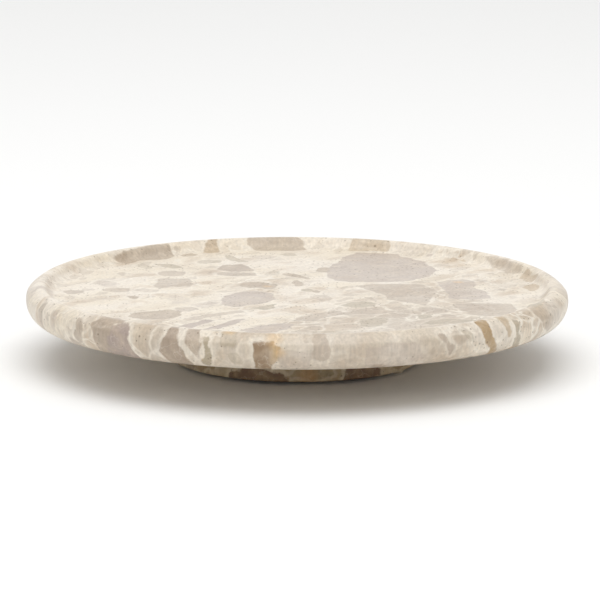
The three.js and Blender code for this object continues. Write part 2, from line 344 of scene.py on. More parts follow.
def drilled(mesh: Mesh, cutters: Sequence[Mesh]) -> Mesh:
    """Cuts round holes into a mesh.

    Args:
        mesh: the closed mesh to drill.
        cutters: closed meshes of what is taken away.

    Returns:
        A new mesh. The ones that were given are removed.
    """
    body = bpy.data.objects.new("drilled", mesh)
    bpy.context.scene.collection.objects.link(body)
    tools = []
    for shape in cutters:
        tool = bpy.data.objects.new("cutter", shape)
        bpy.context.scene.collection.objects.link(tool)
        modifier = body.modifiers.new("hole", "BOOLEAN")
        modifier.operation = "DIFFERENCE"
        modifier.solver = "EXACT"
        modifier.object = tool
        tools.append(tool)
    graph = bpy.context.evaluated_depsgraph_get()
    result = bpy.data.meshes.new_from_object(body.evaluated_get(graph))
    result.name = mesh.name
    for used in [body, *tools]:
        data = used.data
        bpy.data.objects.remove(used)
        bpy.data.meshes.remove(data)
    result.shade_smooth()
    return result


def cutter(outline: Sequence[Point], centre: Point) -> Mesh:
    """Makes a round cutter to drill with.

    Args:
        outline: the points (radius, height) in mm of its wall, from its low end to its high one.
        centre: x and y in mm of its axis.

    Returns:
        A closed mesh that stands past the two ends by OVERCUT.
    """
    low, high = outline[0][1] - OVERCUT, outline[-1][1] + OVERCUT
    wall = [(outline[0][0], low), *outline[1:-1], (outline[-1][0], high)]
    return turned_mesh("cutter", np.array([(0.0, low), *wall, (0.0, high)]), CUTTER_SEGMENTS, centre)


def around(radius: float, degrees: float) -> Point:
    """Finds the point on a circle about the axis, with angles from the front towards +X."""
    angle = math.radians(degrees)
    return radius * math.sin(angle), -radius * math.cos(angle)


def even_angles(count: int, first: float = 0.0) -> list[float]:
    """Lists evenly spaced angles in degrees."""
    return [first + 360.0 * i / count for i in range(count)]


# ---------------------------------------------------------------------------------------------------
# The marble


def outline_depth(points: np.ndarray, corners: np.ndarray) -> np.ndarray:
    """Measures how deep points lie inside a flat outline with straight sides.

    The depth is the distance to the nearest side, whose nearest point is found by sliding along the
    side by the share (p - a) . (b - a) / |b - a|^2, kept between 0 and 1. A point is inside if a ray
    from it towards +x crosses an odd number of sides.

    Args:
        points: rows x, y in mm.
        corners: rows x, y in mm, in order round the outline.

    Returns:
        Depth in mm, negative outside.
    """
    side = np.roll(corners, -1, axis=0) - corners
    away = points[:, None, :] - corners
    share = np.clip((away * side).sum(axis=2) / (side**2).sum(axis=1), 0, 1)
    distance = np.linalg.norm(away - share[..., None] * side, axis=2).min(axis=1)
    rise = np.where(side[:, 1] == 0.0, 1.0, side[:, 1])
    crossed = (away[..., 1] < 0) != (away[..., 1] < side[:, 1])
    crossed &= away[..., 0] < side[:, 0] * away[..., 1] / rise
    return np.where(crossed.sum(axis=1) % 2 == 1, distance, -distance)


@dataclass(frozen=True)
class Shard:
    """A clast, a broken piece of darker stone, whose outline shows on the slab's top or on its wall.

    On the top the corners are (x, y) in mm, and the clast goes down through the slab. On the wall
    they are (degrees from the front towards +X, height in mm above the slab's underside), and the
    clast goes in by REACH_IN mm. strength is how dark it looks, from 0 to 1.
    """

    corners: tuple[Point, ...]
    side: Side
    tone: Tone
    strength: float

    REACH_IN = 15.0

    def depth(self, points: np.ndarray, radius: float, bottom: float) -> np.ndarray:
        """Measures how deep points are inside the clast.

        Args:
            points: rows x, y, z in mm.
            radius: the slab's outside radius in mm.
            bottom: the height of its underside in mm.

        Returns:
            Depth in mm, negative outside.
        """
        corners = np.array(self.corners)
        if self.side is Side.TOP:
            return outline_depth(points[:, :2], corners)
        corners[:, 0] = np.radians(corners[:, 0]) * radius
        middle = corners[:, 0].mean()
        along = np.arctan2(points[:, 0], -points[:, 1]) * radius
        turn = 2 * math.pi * radius
        along = middle + (along - middle + turn / 2) % turn - turn / 2
        flat = outline_depth(np.stack([along, points[:, 2] - bottom], axis=1), corners)
        return np.minimum(flat, np.hypot(points[:, 0], points[:, 1]) - radius + self.REACH_IN)


def shards(side: Side, rows: Sequence[tuple[Tone, float, tuple[Point, ...]]]) -> list[Shard]:
    """Makes the clasts of one side from rows of tone, strength and corners."""
    return [Shard(corners, side, tone, strength) for tone, strength, corners in rows]


@dataclass(frozen=True)
class Block:
    """A clast inside the slab, a block with flat sides that lies at any turn.

    middle is x, y and z, and size the full width, depth and height, in mm. turn is how far its wide
    side is turned about the upright axis, in degrees. strength is how dark it looks, from 0 to 1.
    SIDES is how many flat sides it has and UNEVEN how far their directions stray.
    """

    middle: Place
    size: Place
    turn: float
    tone: Tone
    strength: float

    SIDES = 14
    UNEVEN = 0.15

    def depth(self, points: np.ndarray, radius: float, bottom: float) -> np.ndarray:
        """Measures how deep points are inside the clast.

        The clast is where n . q <= s for SIDES directions n spread over a sphere, where q is the
        point as a share of the clast's half sizes and s a random number from 0.8 to 1.02. The depth
        under a side is (s - n . q) over the length of that side's gradient, and the least one counts.

        Args:
            points: rows x, y, z in mm.
            radius: the slab's outside radius, which a block does not need.
            bottom: the height of its underside, likewise.

        Returns:
            Depth in mm, negative outside.
        """
        rng = np.random.default_rng(abs(round(self.middle[0] * 31 + self.middle[1] * 17)))
        step = np.arange(self.SIDES) + 0.5
        height = 1 - 2 * step / self.SIDES
        turn = step * math.pi * (3 - math.sqrt(5)) + rng.uniform(0, 2 * math.pi)
        flat = np.sqrt(1 - height**2)
        sides = np.stack([flat * np.cos(turn), flat * np.sin(turn), height], axis=1)
        sides += rng.normal(0, self.UNEVEN, sides.shape)
        sides /= np.linalg.norm(sides, axis=1, keepdims=True)
        shares = rng.uniform(0.8, 1.02, self.SIDES)
        half = np.array(self.size) / 2
        angle = math.radians(self.turn)
        cosine, sine = math.cos(angle), math.sin(angle)
        spin = np.array([[cosine, sine, 0], [-sine, cosine, 0], [0, 0, 1]])
        local = (points - self.middle) @ spin.T / half
        gradient = np.linalg.norm(sides / half, axis=1)
        return ((shares - local @ sides.T) / gradient).min(axis=1)


@dataclass(frozen=True)
class Spot:
    """A soft round patch, with its middle and radius in mm."""

    x: float
    y: float
    z: float
    radius: float


@dataclass(frozen=True)
class StonePattern:
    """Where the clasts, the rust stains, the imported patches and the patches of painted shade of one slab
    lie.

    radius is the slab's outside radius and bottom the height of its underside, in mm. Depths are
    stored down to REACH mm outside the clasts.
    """

    radius: float
    bottom: float
    clasts: Sequence[Shard | Block]
    rust: Sequence[Spot]
    packed: Sequence[Spot]
    # Patches of painted shade.
    shaded: Sequence[Spot]

    REACH = 9.0

    def blend_spots(self, points: np.ndarray, spots: Sequence[Spot]) -> np.ndarray:
        """Takes the largest of the spots' bells exp(-(distance / radius)^2) at each point.

        Args:
            points: rows x, y, z in mm.
            spots: the spots.

        Returns:
            A number from 0 to 1 for each point.
        """
        total = np.zeros(len(points))
        for spot in spots:
            away = np.linalg.norm(points - [spot.x, spot.y, spot.z], axis=1) / spot.radius
            total = np.maximum(total, np.exp(-(away**2)))
        return total

    def paint(self, mesh: Mesh) -> None:
        """Stores the pattern at a mesh's points, where the marble's material reads it.

        Args:
            mesh: the finished mesh, in metres. It gets an attribute for each Field. The depth is in
                mm and negative between the clasts.
        """
        count = len(mesh.vertices)
        flat = np.empty(count * 3, np.float32)
        mesh.vertices.foreach_get("co", flat)
        points = flat.reshape(-1, 3).astype(float) / MM
        depth = np.full(count, -self.REACH)
        tone = np.zeros(count)
        strength = np.zeros(count)
        for clast in self.clasts:
            own = clast.depth(points, self.radius, self.bottom)
            deeper = own > depth
            depth[deeper] = own[deeper]
            tone[deeper] = clast.tone.value
            strength[deeper] = clast.strength
        for field, values in {
            Field.DEPTH: depth,
            Field.TONE: tone,
            Field.STRENGTH: strength,
            Field.RUST: self.blend_spots(points, self.rust),
            Field.PACKED: self.blend_spots(points, self.packed),
            Field.SHADED: self.blend_spots(points, self.shaded),
        }.items():
            attribute = mesh.attributes.new(field.value, "FLOAT", "POINT")
            attribute.data.foreach_set("value", values.astype(np.float32))


@dataclass(frozen=True)
class HonedBreccia:
    """Honed breccia marble: cream calcite full of broken taupe pieces, ground flat and left unpolished.

    The eye sees soft cream clouds, crisp-edged taupe and brown pieces with a pale seam round them,
    thin pale veins, a few rust stains and small dark pits. Honing leaves a satin surface with a
    broad, faint sheen.

    A size is the width in mm of a noise's features or of a cell. A step is where a smooth step starts
    and ends, in mm over a depth or a way to a cell's wall, and else in a noise's own value. A share
    is the most of a colour that is mixed in. Shares are two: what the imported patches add, and the
    share elsewhere. A swing is how far a noise moves a value from one end to the other. pit_radii
    are what a pit's random number adds and the least radius, as shares of the spacing, and so is
    pit_edge_step. Upright, the marks' noise is drawn out by one over mark_stretch.
    """

    name: str = "honed_breccia_marble"
    offset: Place = (0.0, 0.0, 0.0)
    cream: str = "e4d8c4"
    ivory: str = "e8decf"
    tan: str = "cbb9a2"
    seam: str = "ebe3d5"
    # faint darkens the crumbs and the cells of the stone, and is also the colour that the painted shade
    # darkens towards.
    faint: str = "b3a492"
    clast_tones: tuple[str, ...] = ("a3917f", "a8988e", "8d7458", "a5875b", "a1937a")
    rust: str = "d8b27a"
    pit: str = "5d4c39"

    flow_angle: float = 45.0
    flow_stretch: float = 1.6
    warp_size: float = 12.0
    warp_swing: float = 9.0
    grain_size: float = 1.3
    lump_size: float = 8.0

    cloud_size: float = 30.0
    cloud_step: Point = (0.38, 0.6)
    stain_size: float = 18.0
    stain_step: Point = (0.5, 0.74)
    stain_packed: float = 0.2
    # How far the painted shade darkens the ground at most.
    painted_shade_share: float = 0.62
    crumb_size: float = 7.0
    crumb_step: Point = (0.62, 0.95)
    crumb_wall_step: Point = (0.35, 0.9)
    crumb_share: float = 0.4
    cell_size: float = 19.0
    cell_wall_step: Point = (1.1, 1.9)
    cell_shares: Point = (0.5, 0.22)
    worn_size: float = 6.0
    worn_step: Point = (0.25, 0.6)
    seam_step: Point = (1.4, 0.8)
    seam_shares: Point = (0.5, 0.06)
    vein_size: float = 24.0
    vein_middle: float = 0.5
    vein_step: Point = (0.016, 0.004)
    vein_patch_size: float = 40.0
    vein_patch_step: Point = (0.42, 0.6)
    vein_share: float = 0.7

    bend_swing: float = 6.5
    tooth_swing: float = 0.9
    rim_step: Point = (-3.2, -1.0)
    rim_share: float = 0.4
    inside_step: Point = (-0.5, 0.7)
    mottle_size: float = 7.0
    mottle_step: Point = (0.42, 0.75)
    mottle_share: float = 0.45
    thread_size: float = 13.0
    thread_middle: float = 0.47
    thread_step: Point = (0.012, 0.0)
    thread_share: float = 0.2

    rust_swing: float = 0.8
    rust_step: Point = (0.3, 1.0)
    rust_share: float = 0.5
    pit_spacing: float = 2.6
    pit_radii: Point = (0.16, 0.1)
    pit_edge_step: Point = (0.0, 0.05)
    pit_chance_step: Point = (0.36, 0.4)
    pit_patch_size: float = 22.0
    pit_patch_step: Point = (0.4, 0.56)
    pit_share: float = 0.5

    fleck_swing: float = 0.22
    fleck_middle: float = 1.01
    freckle_size: float = 2.4
    mark_size: float = 1.6
    mark_swing: float = 0.42
    mark_stretch: float = 0.08
    roughness: float = 0.37
    roughness_swing: float = 0.12
    pit_roughness: float = 0.3
    grain_relief: float = 0.06
    pit_depth: float = 0.4
    bump_strength: float = 0.5

    def cells(self, tree: NodeTree, at: NodeSocket, size: float) -> tuple[Node, NodeSocket]:
        """Adds a net of angular cells.

        Args:
            tree: the material's node tree.
            at: the place in mm.
            size: the cells' width in mm.

        Returns:
            A node with each cell's random numbers, and the distance in mm to the nearest cell wall.
        """
        values = {"Vector": at, "Scale": 1.0 / size}
        cell = add_node(tree, "ShaderNodeTexVoronoi", {"feature": "F1"}, values)
        wall = add_node(tree, "ShaderNodeTexVoronoi", {"feature": "DISTANCE_TO_EDGE"}, values)
        split = add_node(tree, "ShaderNodeSeparateColor", inputs={"Color": cell.outputs["Color"]})
        return split, wire(tree, Step.MULTIPLY, wall.outputs["Distance"], size)

    def line(self, tree: NodeTree, noise: NodeSocket, middle: float, step: Point) -> NodeSocket:
        """Adds thin lines where a noise crosses a middle value.

        Args:
            tree: the material's node tree.
            noise: the noise.
            middle: the value where a line runs.
            step: how far from that value the line is gone, and how far it is whole.

        Returns:
            1 in the line's middle and 0 away from it.
        """
        away = wire(tree, Step.ABSOLUTE, wire(tree, Step.SUBTRACT, noise, middle))
        return wire(tree, Step.RAMP, away, *step)

    def swing(self, tree: NodeTree, noise: NodeSocket, width: float, middle: float) -> NodeSocket:
        """Adds a noise spread over a width about a middle value."""
        return wire(tree, Step.MULTIPLY_ADD, noise, width, middle - width / 2)

    def places(self, tree: NodeTree) -> tuple[NodeSocket, NodeSocket]:
        """Adds the places that the stone's noises are drawn at.

        Args:
            tree: the material's node tree.

        Returns:
            The place in mm, and the same place drawn out along the flow of the stone and bent.
        """
        place = add_node(tree, "ShaderNodeTexCoord").outputs["Object"]
        to_mm = {"Vector": place, "Scale": (1 / MM,) * 3, "Location": self.offset}
        at = add_node(tree, "ShaderNodeMapping", inputs=to_mm).outputs["Vector"]
        noise = {"Vector": at, "Scale": 1.0 / self.warp_size, "Detail": 3.0}
        wander = add_node(tree, "ShaderNodeTexNoise", inputs=noise)
        centred = add_node(
            tree,
            "ShaderNodeVectorMath",
            {"operation": "MULTIPLY_ADD"},
            {0: wander.outputs["Color"], 1: (self.warp_swing,) * 3, 2: (-self.warp_swing / 2,) * 3},
        )
        ends = {0: at, 1: centred.outputs["Vector"]}
        bent = add_node(tree, "ShaderNodeVectorMath", {"operation": "ADD"}, ends)
        along = {
            "Vector": bent.outputs["Vector"],
            "Rotation": (0.0, 0.0, math.radians(self.flow_angle)),
            "Scale": (self.flow_stretch, 1.0, 1.0),
        }
        flow = add_node(tree, "ShaderNodeMapping", {"vector_type": "TEXTURE"}, along)
        return at, flow.outputs["Vector"]

    def ground(self, tree: NodeTree, painted: Painted, flow: NodeSocket, grain: NodeSocket) -> NodeSocket:
        """Adds the colour of the stone between the clasts.

        Cream drifts between ivory and tan, and in the patches of painted shade it is darkened towards
        faint as painted shade. Middling cells and small crumbs of slightly darker stone lie in it with
        pale seams between them, thickly where the pattern is packed, and thin pale veins run where a
        slow noise crosses its middle value.

        Args:
            tree: the material's node tree.
            painted: what StonePattern stores.
            flow: the bent place in mm.
            grain: a fine noise.

        Returns:
            The colour.
        """
        packed = painted[Field.PACKED]
        pale, faint = linear(self.seam), linear(self.faint)
        cloud = wire(tree, Step.NOISE, flow, 1 / self.cloud_size, 5.0)
        cloudy = wire(tree, Step.RAMP, cloud, *self.cloud_step)
        colour = wire(tree, Step.MIX, cloudy, linear(self.ivory), linear(self.cream))
        stain = wire(tree, Step.NOISE, flow, 1 / self.stain_size, 4.0)
        stain = wire(tree, Step.ADD, stain, wire(tree, Step.MULTIPLY, packed, self.stain_packed))
        stained = wire(tree, Step.RAMP, stain, *self.stain_step)
        colour = wire(tree, Step.MIX, stained, colour, linear(self.tan))
        # Painted shade: the ground is darkened towards faint in the patches of painted shade.
        painted_shade = wire(tree, Step.MULTIPLY, painted[Field.SHADED], self.painted_shade_share)
        colour = wire(tree, Step.MIX, painted_shade, colour, faint)

        crumb, crumb_wall = self.cells(tree, flow, self.crumb_size)
        picked = wire(tree, Step.RAMP, crumb.outputs["Red"], *self.crumb_step)
        crumbs = wire(tree, Step.MULTIPLY, picked, wire(tree, Step.RAMP, crumb_wall, *self.crumb_wall_step))
        colour = wire(tree, Step.MIX, wire(tree, Step.MULTIPLY, crumbs, self.crumb_share), colour, faint)

        cell, cell_wall = self.cells(tree, flow, self.cell_size)
        wall = wire(tree, Step.ADD, cell_wall, grain)
        inside = wire(tree, Step.RAMP, wall, *self.cell_wall_step)
        cells = wire(tree, Step.MULTIPLY, cell.outputs["Green"], inside)
        worn = wire(tree, Step.NOISE, flow, 1 / self.worn_size, 4.0)
        cells = wire(tree, Step.MULTIPLY, cells, wire(tree, Step.RAMP, worn, *self.worn_step))
        strength = wire(tree, Step.MULTIPLY_ADD, packed, *self.cell_shares)
        colour = wire(tree, Step.MIX, wire(tree, Step.MULTIPLY, cells, strength), colour, faint)
        seam = wire(tree, Step.RAMP, wall, *self.seam_step)
        strength = wire(tree, Step.MULTIPLY_ADD, packed, *self.seam_shares)
        colour = wire(tree, Step.MIX, wire(tree, Step.MULTIPLY, seam, strength), colour, pale)

        slow = wire(tree, Step.NOISE, flow, 1 / self.vein_size, 2.0)
        patch = wire(tree, Step.NOISE, flow, 1 / self.vein_patch_size, 2.0)
        patchy = wire(tree, Step.RAMP, patch, *self.vein_patch_step)
        line = self.line(tree, slow, self.vein_middle, self.vein_step)
        vein = wire(tree, Step.MULTIPLY, line, patchy)
        return wire(tree, Step.MIX, wire(tree, Step.MULTIPLY, vein, self.vein_share), colour, pale)

    def clast(self, tree: NodeTree, tone: NodeSocket, at: NodeSocket) -> NodeSocket:
        """Adds the colour inside a clast: its own tone, mottled with tan and crossed by pale threads.

        Args:
            tree: the material's node tree.
            tone: the painted tone.
            at: the place in mm.

        Returns:
            The colour.
        """
        tones = add_node(tree, "ShaderNodeValToRGB", inputs={"Fac": tone})
        stops = tones.color_ramp.elements
        while len(stops) < len(self.clast_tones):
            stops.new(0.5)
        for i, code in enumerate(self.clast_tones):
            stops[i].position = i / (len(self.clast_tones) - 1)
            stops[i].color = linear(code)
        mottle = wire(tree, Step.NOISE, at, 1 / self.mottle_size, 5.0)
        pale = wire(tree, Step.RAMP, mottle, *self.mottle_step)
        pale = wire(tree, Step.MULTIPLY, pale, self.mottle_share)
        colour = wire(tree, Step.MIX, pale, tones.outputs["Color"], linear(self.tan))
        thread = wire(tree, Step.NOISE, at, 1 / self.thread_size, 3.0)
        line = self.line(tree, thread, self.thread_middle, self.thread_step)
        line = wire(tree, Step.MULTIPLY, line, self.thread_share)
        return wire(tree, Step.MIX, line, colour, linear(self.seam))

    def clasts(
        self,
        tree: NodeTree,
        painted: Painted,
        ground: NodeSocket,
        at: NodeSocket,
        lumps: NodeSocket,
        grain: NodeSocket,
    ) -> NodeSocket:
        """Lays the painted clasts over the ground, each with a ragged edge and a pale seam round it.

        Args:
            tree: the material's node tree.
            painted: what StonePattern stores.
            ground: the colour beneath.
            at: the place in mm.
            lumps: a noise for the edge's bends.
            grain: a fine noise for its teeth.

        Returns:
            The colour.
        """
        strength = painted[Field.STRENGTH]
        bends = self.swing(tree, lumps, self.bend_swing, 0.0)
        ragged = wire(tree, Step.ADD, bends, self.swing(tree, grain, self.tooth_swing, 0.0))
        depth = wire(tree, Step.ADD, painted[Field.DEPTH], ragged)
        rim = wire(tree, Step.MULTIPLY, wire(tree, Step.RAMP, depth, *self.rim_step), strength)
        rim = wire(tree, Step.MULTIPLY, rim, self.rim_share)
        colour = wire(tree, Step.MIX, rim, ground, linear(self.seam))
        inside = wire(tree, Step.RAMP, depth, *self.inside_step)
        inside = wire(tree, Step.MULTIPLY, inside, strength)
        return wire(tree, Step.MIX, inside, colour, self.clast(tree, painted[Field.TONE], at))

    def pits(self, tree: NodeTree, at: NodeSocket) -> NodeSocket:
        """Adds small round pits, about 0.4 to 1.2 mm wide, in pitted patches of the stone.

        Args:
            tree: the material's node tree.
            at: the place in mm.

        Returns:
            1 in a pit and 0 outside, with a short slope between them.
        """
        values = {"Vector": at, "Scale": 1.0 / self.pit_spacing}
        speck = add_node(tree, "ShaderNodeTexVoronoi", {"feature": "F1"}, values)
        chance = add_node(tree, "ShaderNodeSeparateColor", inputs={"Color": speck.outputs["Color"]})
        size = wire(tree, Step.MULTIPLY_ADD, chance.outputs["Blue"], *self.pit_radii)
        hole = wire(tree, Step.SUBTRACT, size, speck.outputs["Distance"])
        hole = wire(tree, Step.RAMP, hole, *self.pit_edge_step)
        patch = wire(tree, Step.NOISE, at, 1 / self.pit_patch_size, 2.0)
        patch = wire(tree, Step.RAMP, patch, *self.pit_patch_step)
        chosen = wire(tree, Step.RAMP, chance.outputs["Red"], *self.pit_chance_step)
        return wire(tree, Step.MULTIPLY, hole, wire(tree, Step.MULTIPLY, chosen, patch))

    def material(self) -> Material:
        """Builds the marble.

        Returns:
            The material, for meshes that StonePattern has painted.
        """
        material, shader = new_material(self.name, {"IOR": 1.5, "Specular IOR Level": 0.5})
        tree = material.node_tree
        painted = {}
        for field in Field:
            settings = {"attribute_name": field.value, "attribute_type": "GEOMETRY"}
            painted[field] = add_node(tree, "ShaderNodeAttribute", settings).outputs["Fac"]
        at, flow = self.places(tree)
        grain = wire(tree, Step.NOISE, at, 1 / self.grain_size, 4.0)
        lumps = wire(tree, Step.NOISE, at, 1 / self.lump_size, 4.0)
        colour = self.ground(tree, painted, flow, grain)
        colour = self.clasts(tree, painted, colour, at, lumps, grain)
        rust = wire(tree, Step.ADD, painted[Field.RUST], self.swing(tree, lumps, self.rust_swing, 0.0))
        rust = wire(tree, Step.RAMP, rust, *self.rust_step)
        rust = wire(tree, Step.MULTIPLY, rust, self.rust_share)
        colour = wire(tree, Step.MIX, rust, colour, linear(self.rust))
        pit = self.pits(tree, at)
        hollow = wire(tree, Step.MULTIPLY, pit, self.pit_share)
        colour = wire(tree, Step.MIX, hollow, colour, linear(self.pit))
        # The grain, and freckles about 2 mm wide, each shade the colour by up to about a tenth.
        freckle = wire(tree, Step.NOISE, at, 1 / self.freckle_size, 3.0)
        fleck = self.swing(tree, grain, self.fleck_swing, self.fleck_middle)
        fleck = wire(tree, Step.MULTIPLY, fleck, self.swing(tree, freckle, self.fleck_swing, 1.0))
        # Grinding marks about 1.6 mm wide run up the walls. On the flats they are only grain.
        upright = {"Vector": at, "Scale": (1.0, 1.0, self.mark_stretch)}
        drawn = add_node(tree, "ShaderNodeMapping", inputs=upright).outputs["Vector"]
        marks = wire(tree, Step.NOISE, drawn, 1 / self.mark_size, 2.0)
        fleck = wire(tree, Step.MULTIPLY, fleck, self.swing(tree, marks, self.mark_swing, 1.0))
        shade = {0: colour, "Scale": fleck}
        shaded = add_node(tree, "ShaderNodeVectorMath", {"operation": "SCALE"}, shade)
        tree.links.new(shaded.outputs["Vector"], shader.inputs["Base Color"])
        rough = self.swing(tree, grain, self.roughness_swing, self.roughness)
        rough = wire(tree, Step.MULTIPLY_ADD, pit, self.pit_roughness, rough)
        tree.links.new(rough, shader.inputs["Roughness"])
        relief = wire(tree, Step.SUBTRACT, wire(tree, Step.MULTIPLY, grain, self.grain_relief), pit)
        raised = {"Height": relief, "Distance": self.pit_depth * MM, "Strength": self.bump_strength}
        bump = add_node(tree, "ShaderNodeBump", inputs=raised)
        tree.links.new(bump.outputs["Normal"], shader.inputs["Normal"])
        return material


# ---------------------------------------------------------------------------------------------------
# The other finishes


@dataclass(frozen=True)
class MachinedMetal:
    """A bare or plated metal part, with the fine grain of its machining and the smudges of handling.

    The eye sees a metal's sheen that varies a little in tone and in sharpness. Sizes in mm.
    """

    name: str
    colour: str
    roughness: float
    streak: float = 0.08
    grain_size: float = 0.4
    smudge_size: float = 14.0
    smudge_tone: float = 0.82

    def material(self) -> Material:
        """Builds the metal, with its roughness varied by the grain and its colour by the smudges.

        Returns:
            The material.
        """
        material, shader = new_material(self.name, {"Metallic": 1.0})
        tree = material.node_tree
        place = add_node(tree, "ShaderNodeTexCoord").outputs["Object"]
        to_mm = {"Vector": place, "Scale": (1 / MM,) * 3}
        at = add_node(tree, "ShaderNodeMapping", inputs=to_mm).outputs["Vector"]
        # The grain is drawn at 0.4 mm, coarser than a real finishing cut, so that it shows.
        grain = wire(tree, Step.NOISE, at, 1 / self.grain_size, 2.0)
        smudge = wire(tree, Step.NOISE, at, 1 / self.smudge_size, 3.0)
        colour = wire(tree, Step.MIX, smudge, linear(self.colour), linear(self.colour, self.smudge_tone))
        tree.links.new(colour, shader.inputs["Base Color"])
        rough = wire(tree, Step.MULTIPLY_ADD, grain, self.streak, self.roughness - self.streak / 2)
        tree.links.new(rough, shader.inputs["Roughness"])
        return material


@dataclass(frozen=True)
class MouldedNylon:
    """Natural nylon 66, injection moulded: milky off-white with a soft satin skin. Sizes in mm."""

    name: str = "moulded_natural_nylon"
    colour: str = "e9e6dc"
    shade: str = "dad5c6"
    flow_size: float = 6.0

    def material(self) -> Material:
        """Builds the nylon, with faint flow marks.

        Returns:
            The material.
        """
        material, shader = new_material(self.name, {"IOR": 1.53, "Roughness": 0.45})
        tree = material.node_tree
        place = add_node(tree, "ShaderNodeTexCoord").outputs["Object"]
        flow = wire(tree, Step.NOISE, place, 1 / (self.flow_size * MM), 3.0)
        colour = wire(tree, Step.MIX, flow, linear(self.colour), linear(self.shade))
        tree.links.new(colour, shader.inputs["Base Color"])
        return material


@dataclass(frozen=True)
class ClearPolyurethane:
    """Cast clear polyurethane, as stick-on bumpers are: a glassy dome whose pale warm colour is a
    painted reflection of the brown base and the bright floor seen in it.

    Its skin is glossy, with faint handling marks. Sizes in mm.
    """

    name: str = "cast_clear_polyurethane"
    # Painted reflection: the warm cream stands for the base and the floor seen in the clear dome.
    colour: str = "e8d8bc"
    mark_size: float = 2.0
    mark_roughness: float = 0.14
    roughness: float = 0.08

    def material(self) -> Material:
        """Builds the polyurethane.

        Returns:
            The material.
        """
        constants = {"IOR": 1.5, "Transmission Weight": 0.2, "Base Color": linear(self.colour)}
        material, shader = new_material(self.name, constants)
        tree = material.node_tree
        place = add_node(tree, "ShaderNodeTexCoord").outputs["Object"]
        marks = wire(tree, Step.NOISE, place, 1 / (self.mark_size * MM), 3.0)
        rough = wire(tree, Step.MULTIPLY_ADD, marks, self.mark_roughness, self.roughness)
        tree.links.new(rough, shader.inputs["Roughness"])
        return material


# ---------------------------------------------------------------------------------------------------
# The sub-assemblies


def finish_piece(piece: Object, body: Body, nodes: Sequence[str], material: Material) -> None:
    """Dresses a new piece and ties it to the CAD frame.

    Args:
        piece: the new piece.
        body: the CAD body that it moves with.
        nodes: the CAD nodes that it stands for.
        material: its finish.
    """
    piece.data.materials.clear()
    piece.data.materials.append(material)
    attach(piece, body.value)
    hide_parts(*nodes)
    LOG.info("%s: %d faces, rides on %s", piece.name, len(piece.data.polygons), body.value)


def dress_nodes(names: Sequence[str], material: Material) -> None:
    """Gives CAD nodes that keep their own shape a better finish.

    Args:
        names: the CAD nodes.
        material: their finish.
    """
    for name in names:
        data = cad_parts[name].data
        data.materials.clear()
        data.materials.append(material)
    LOG.info("%s: %d pieces", material.name, len(names))


def box_mm(node: str) -> tuple[Place, Place]:
    """Reads the low and the high corner of a CAD node's box, in mm."""
    low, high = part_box(node)
    return (low.x / MM, low.y / MM, low.z / MM), (high.x / MM, high.y / MM, high.z / MM)


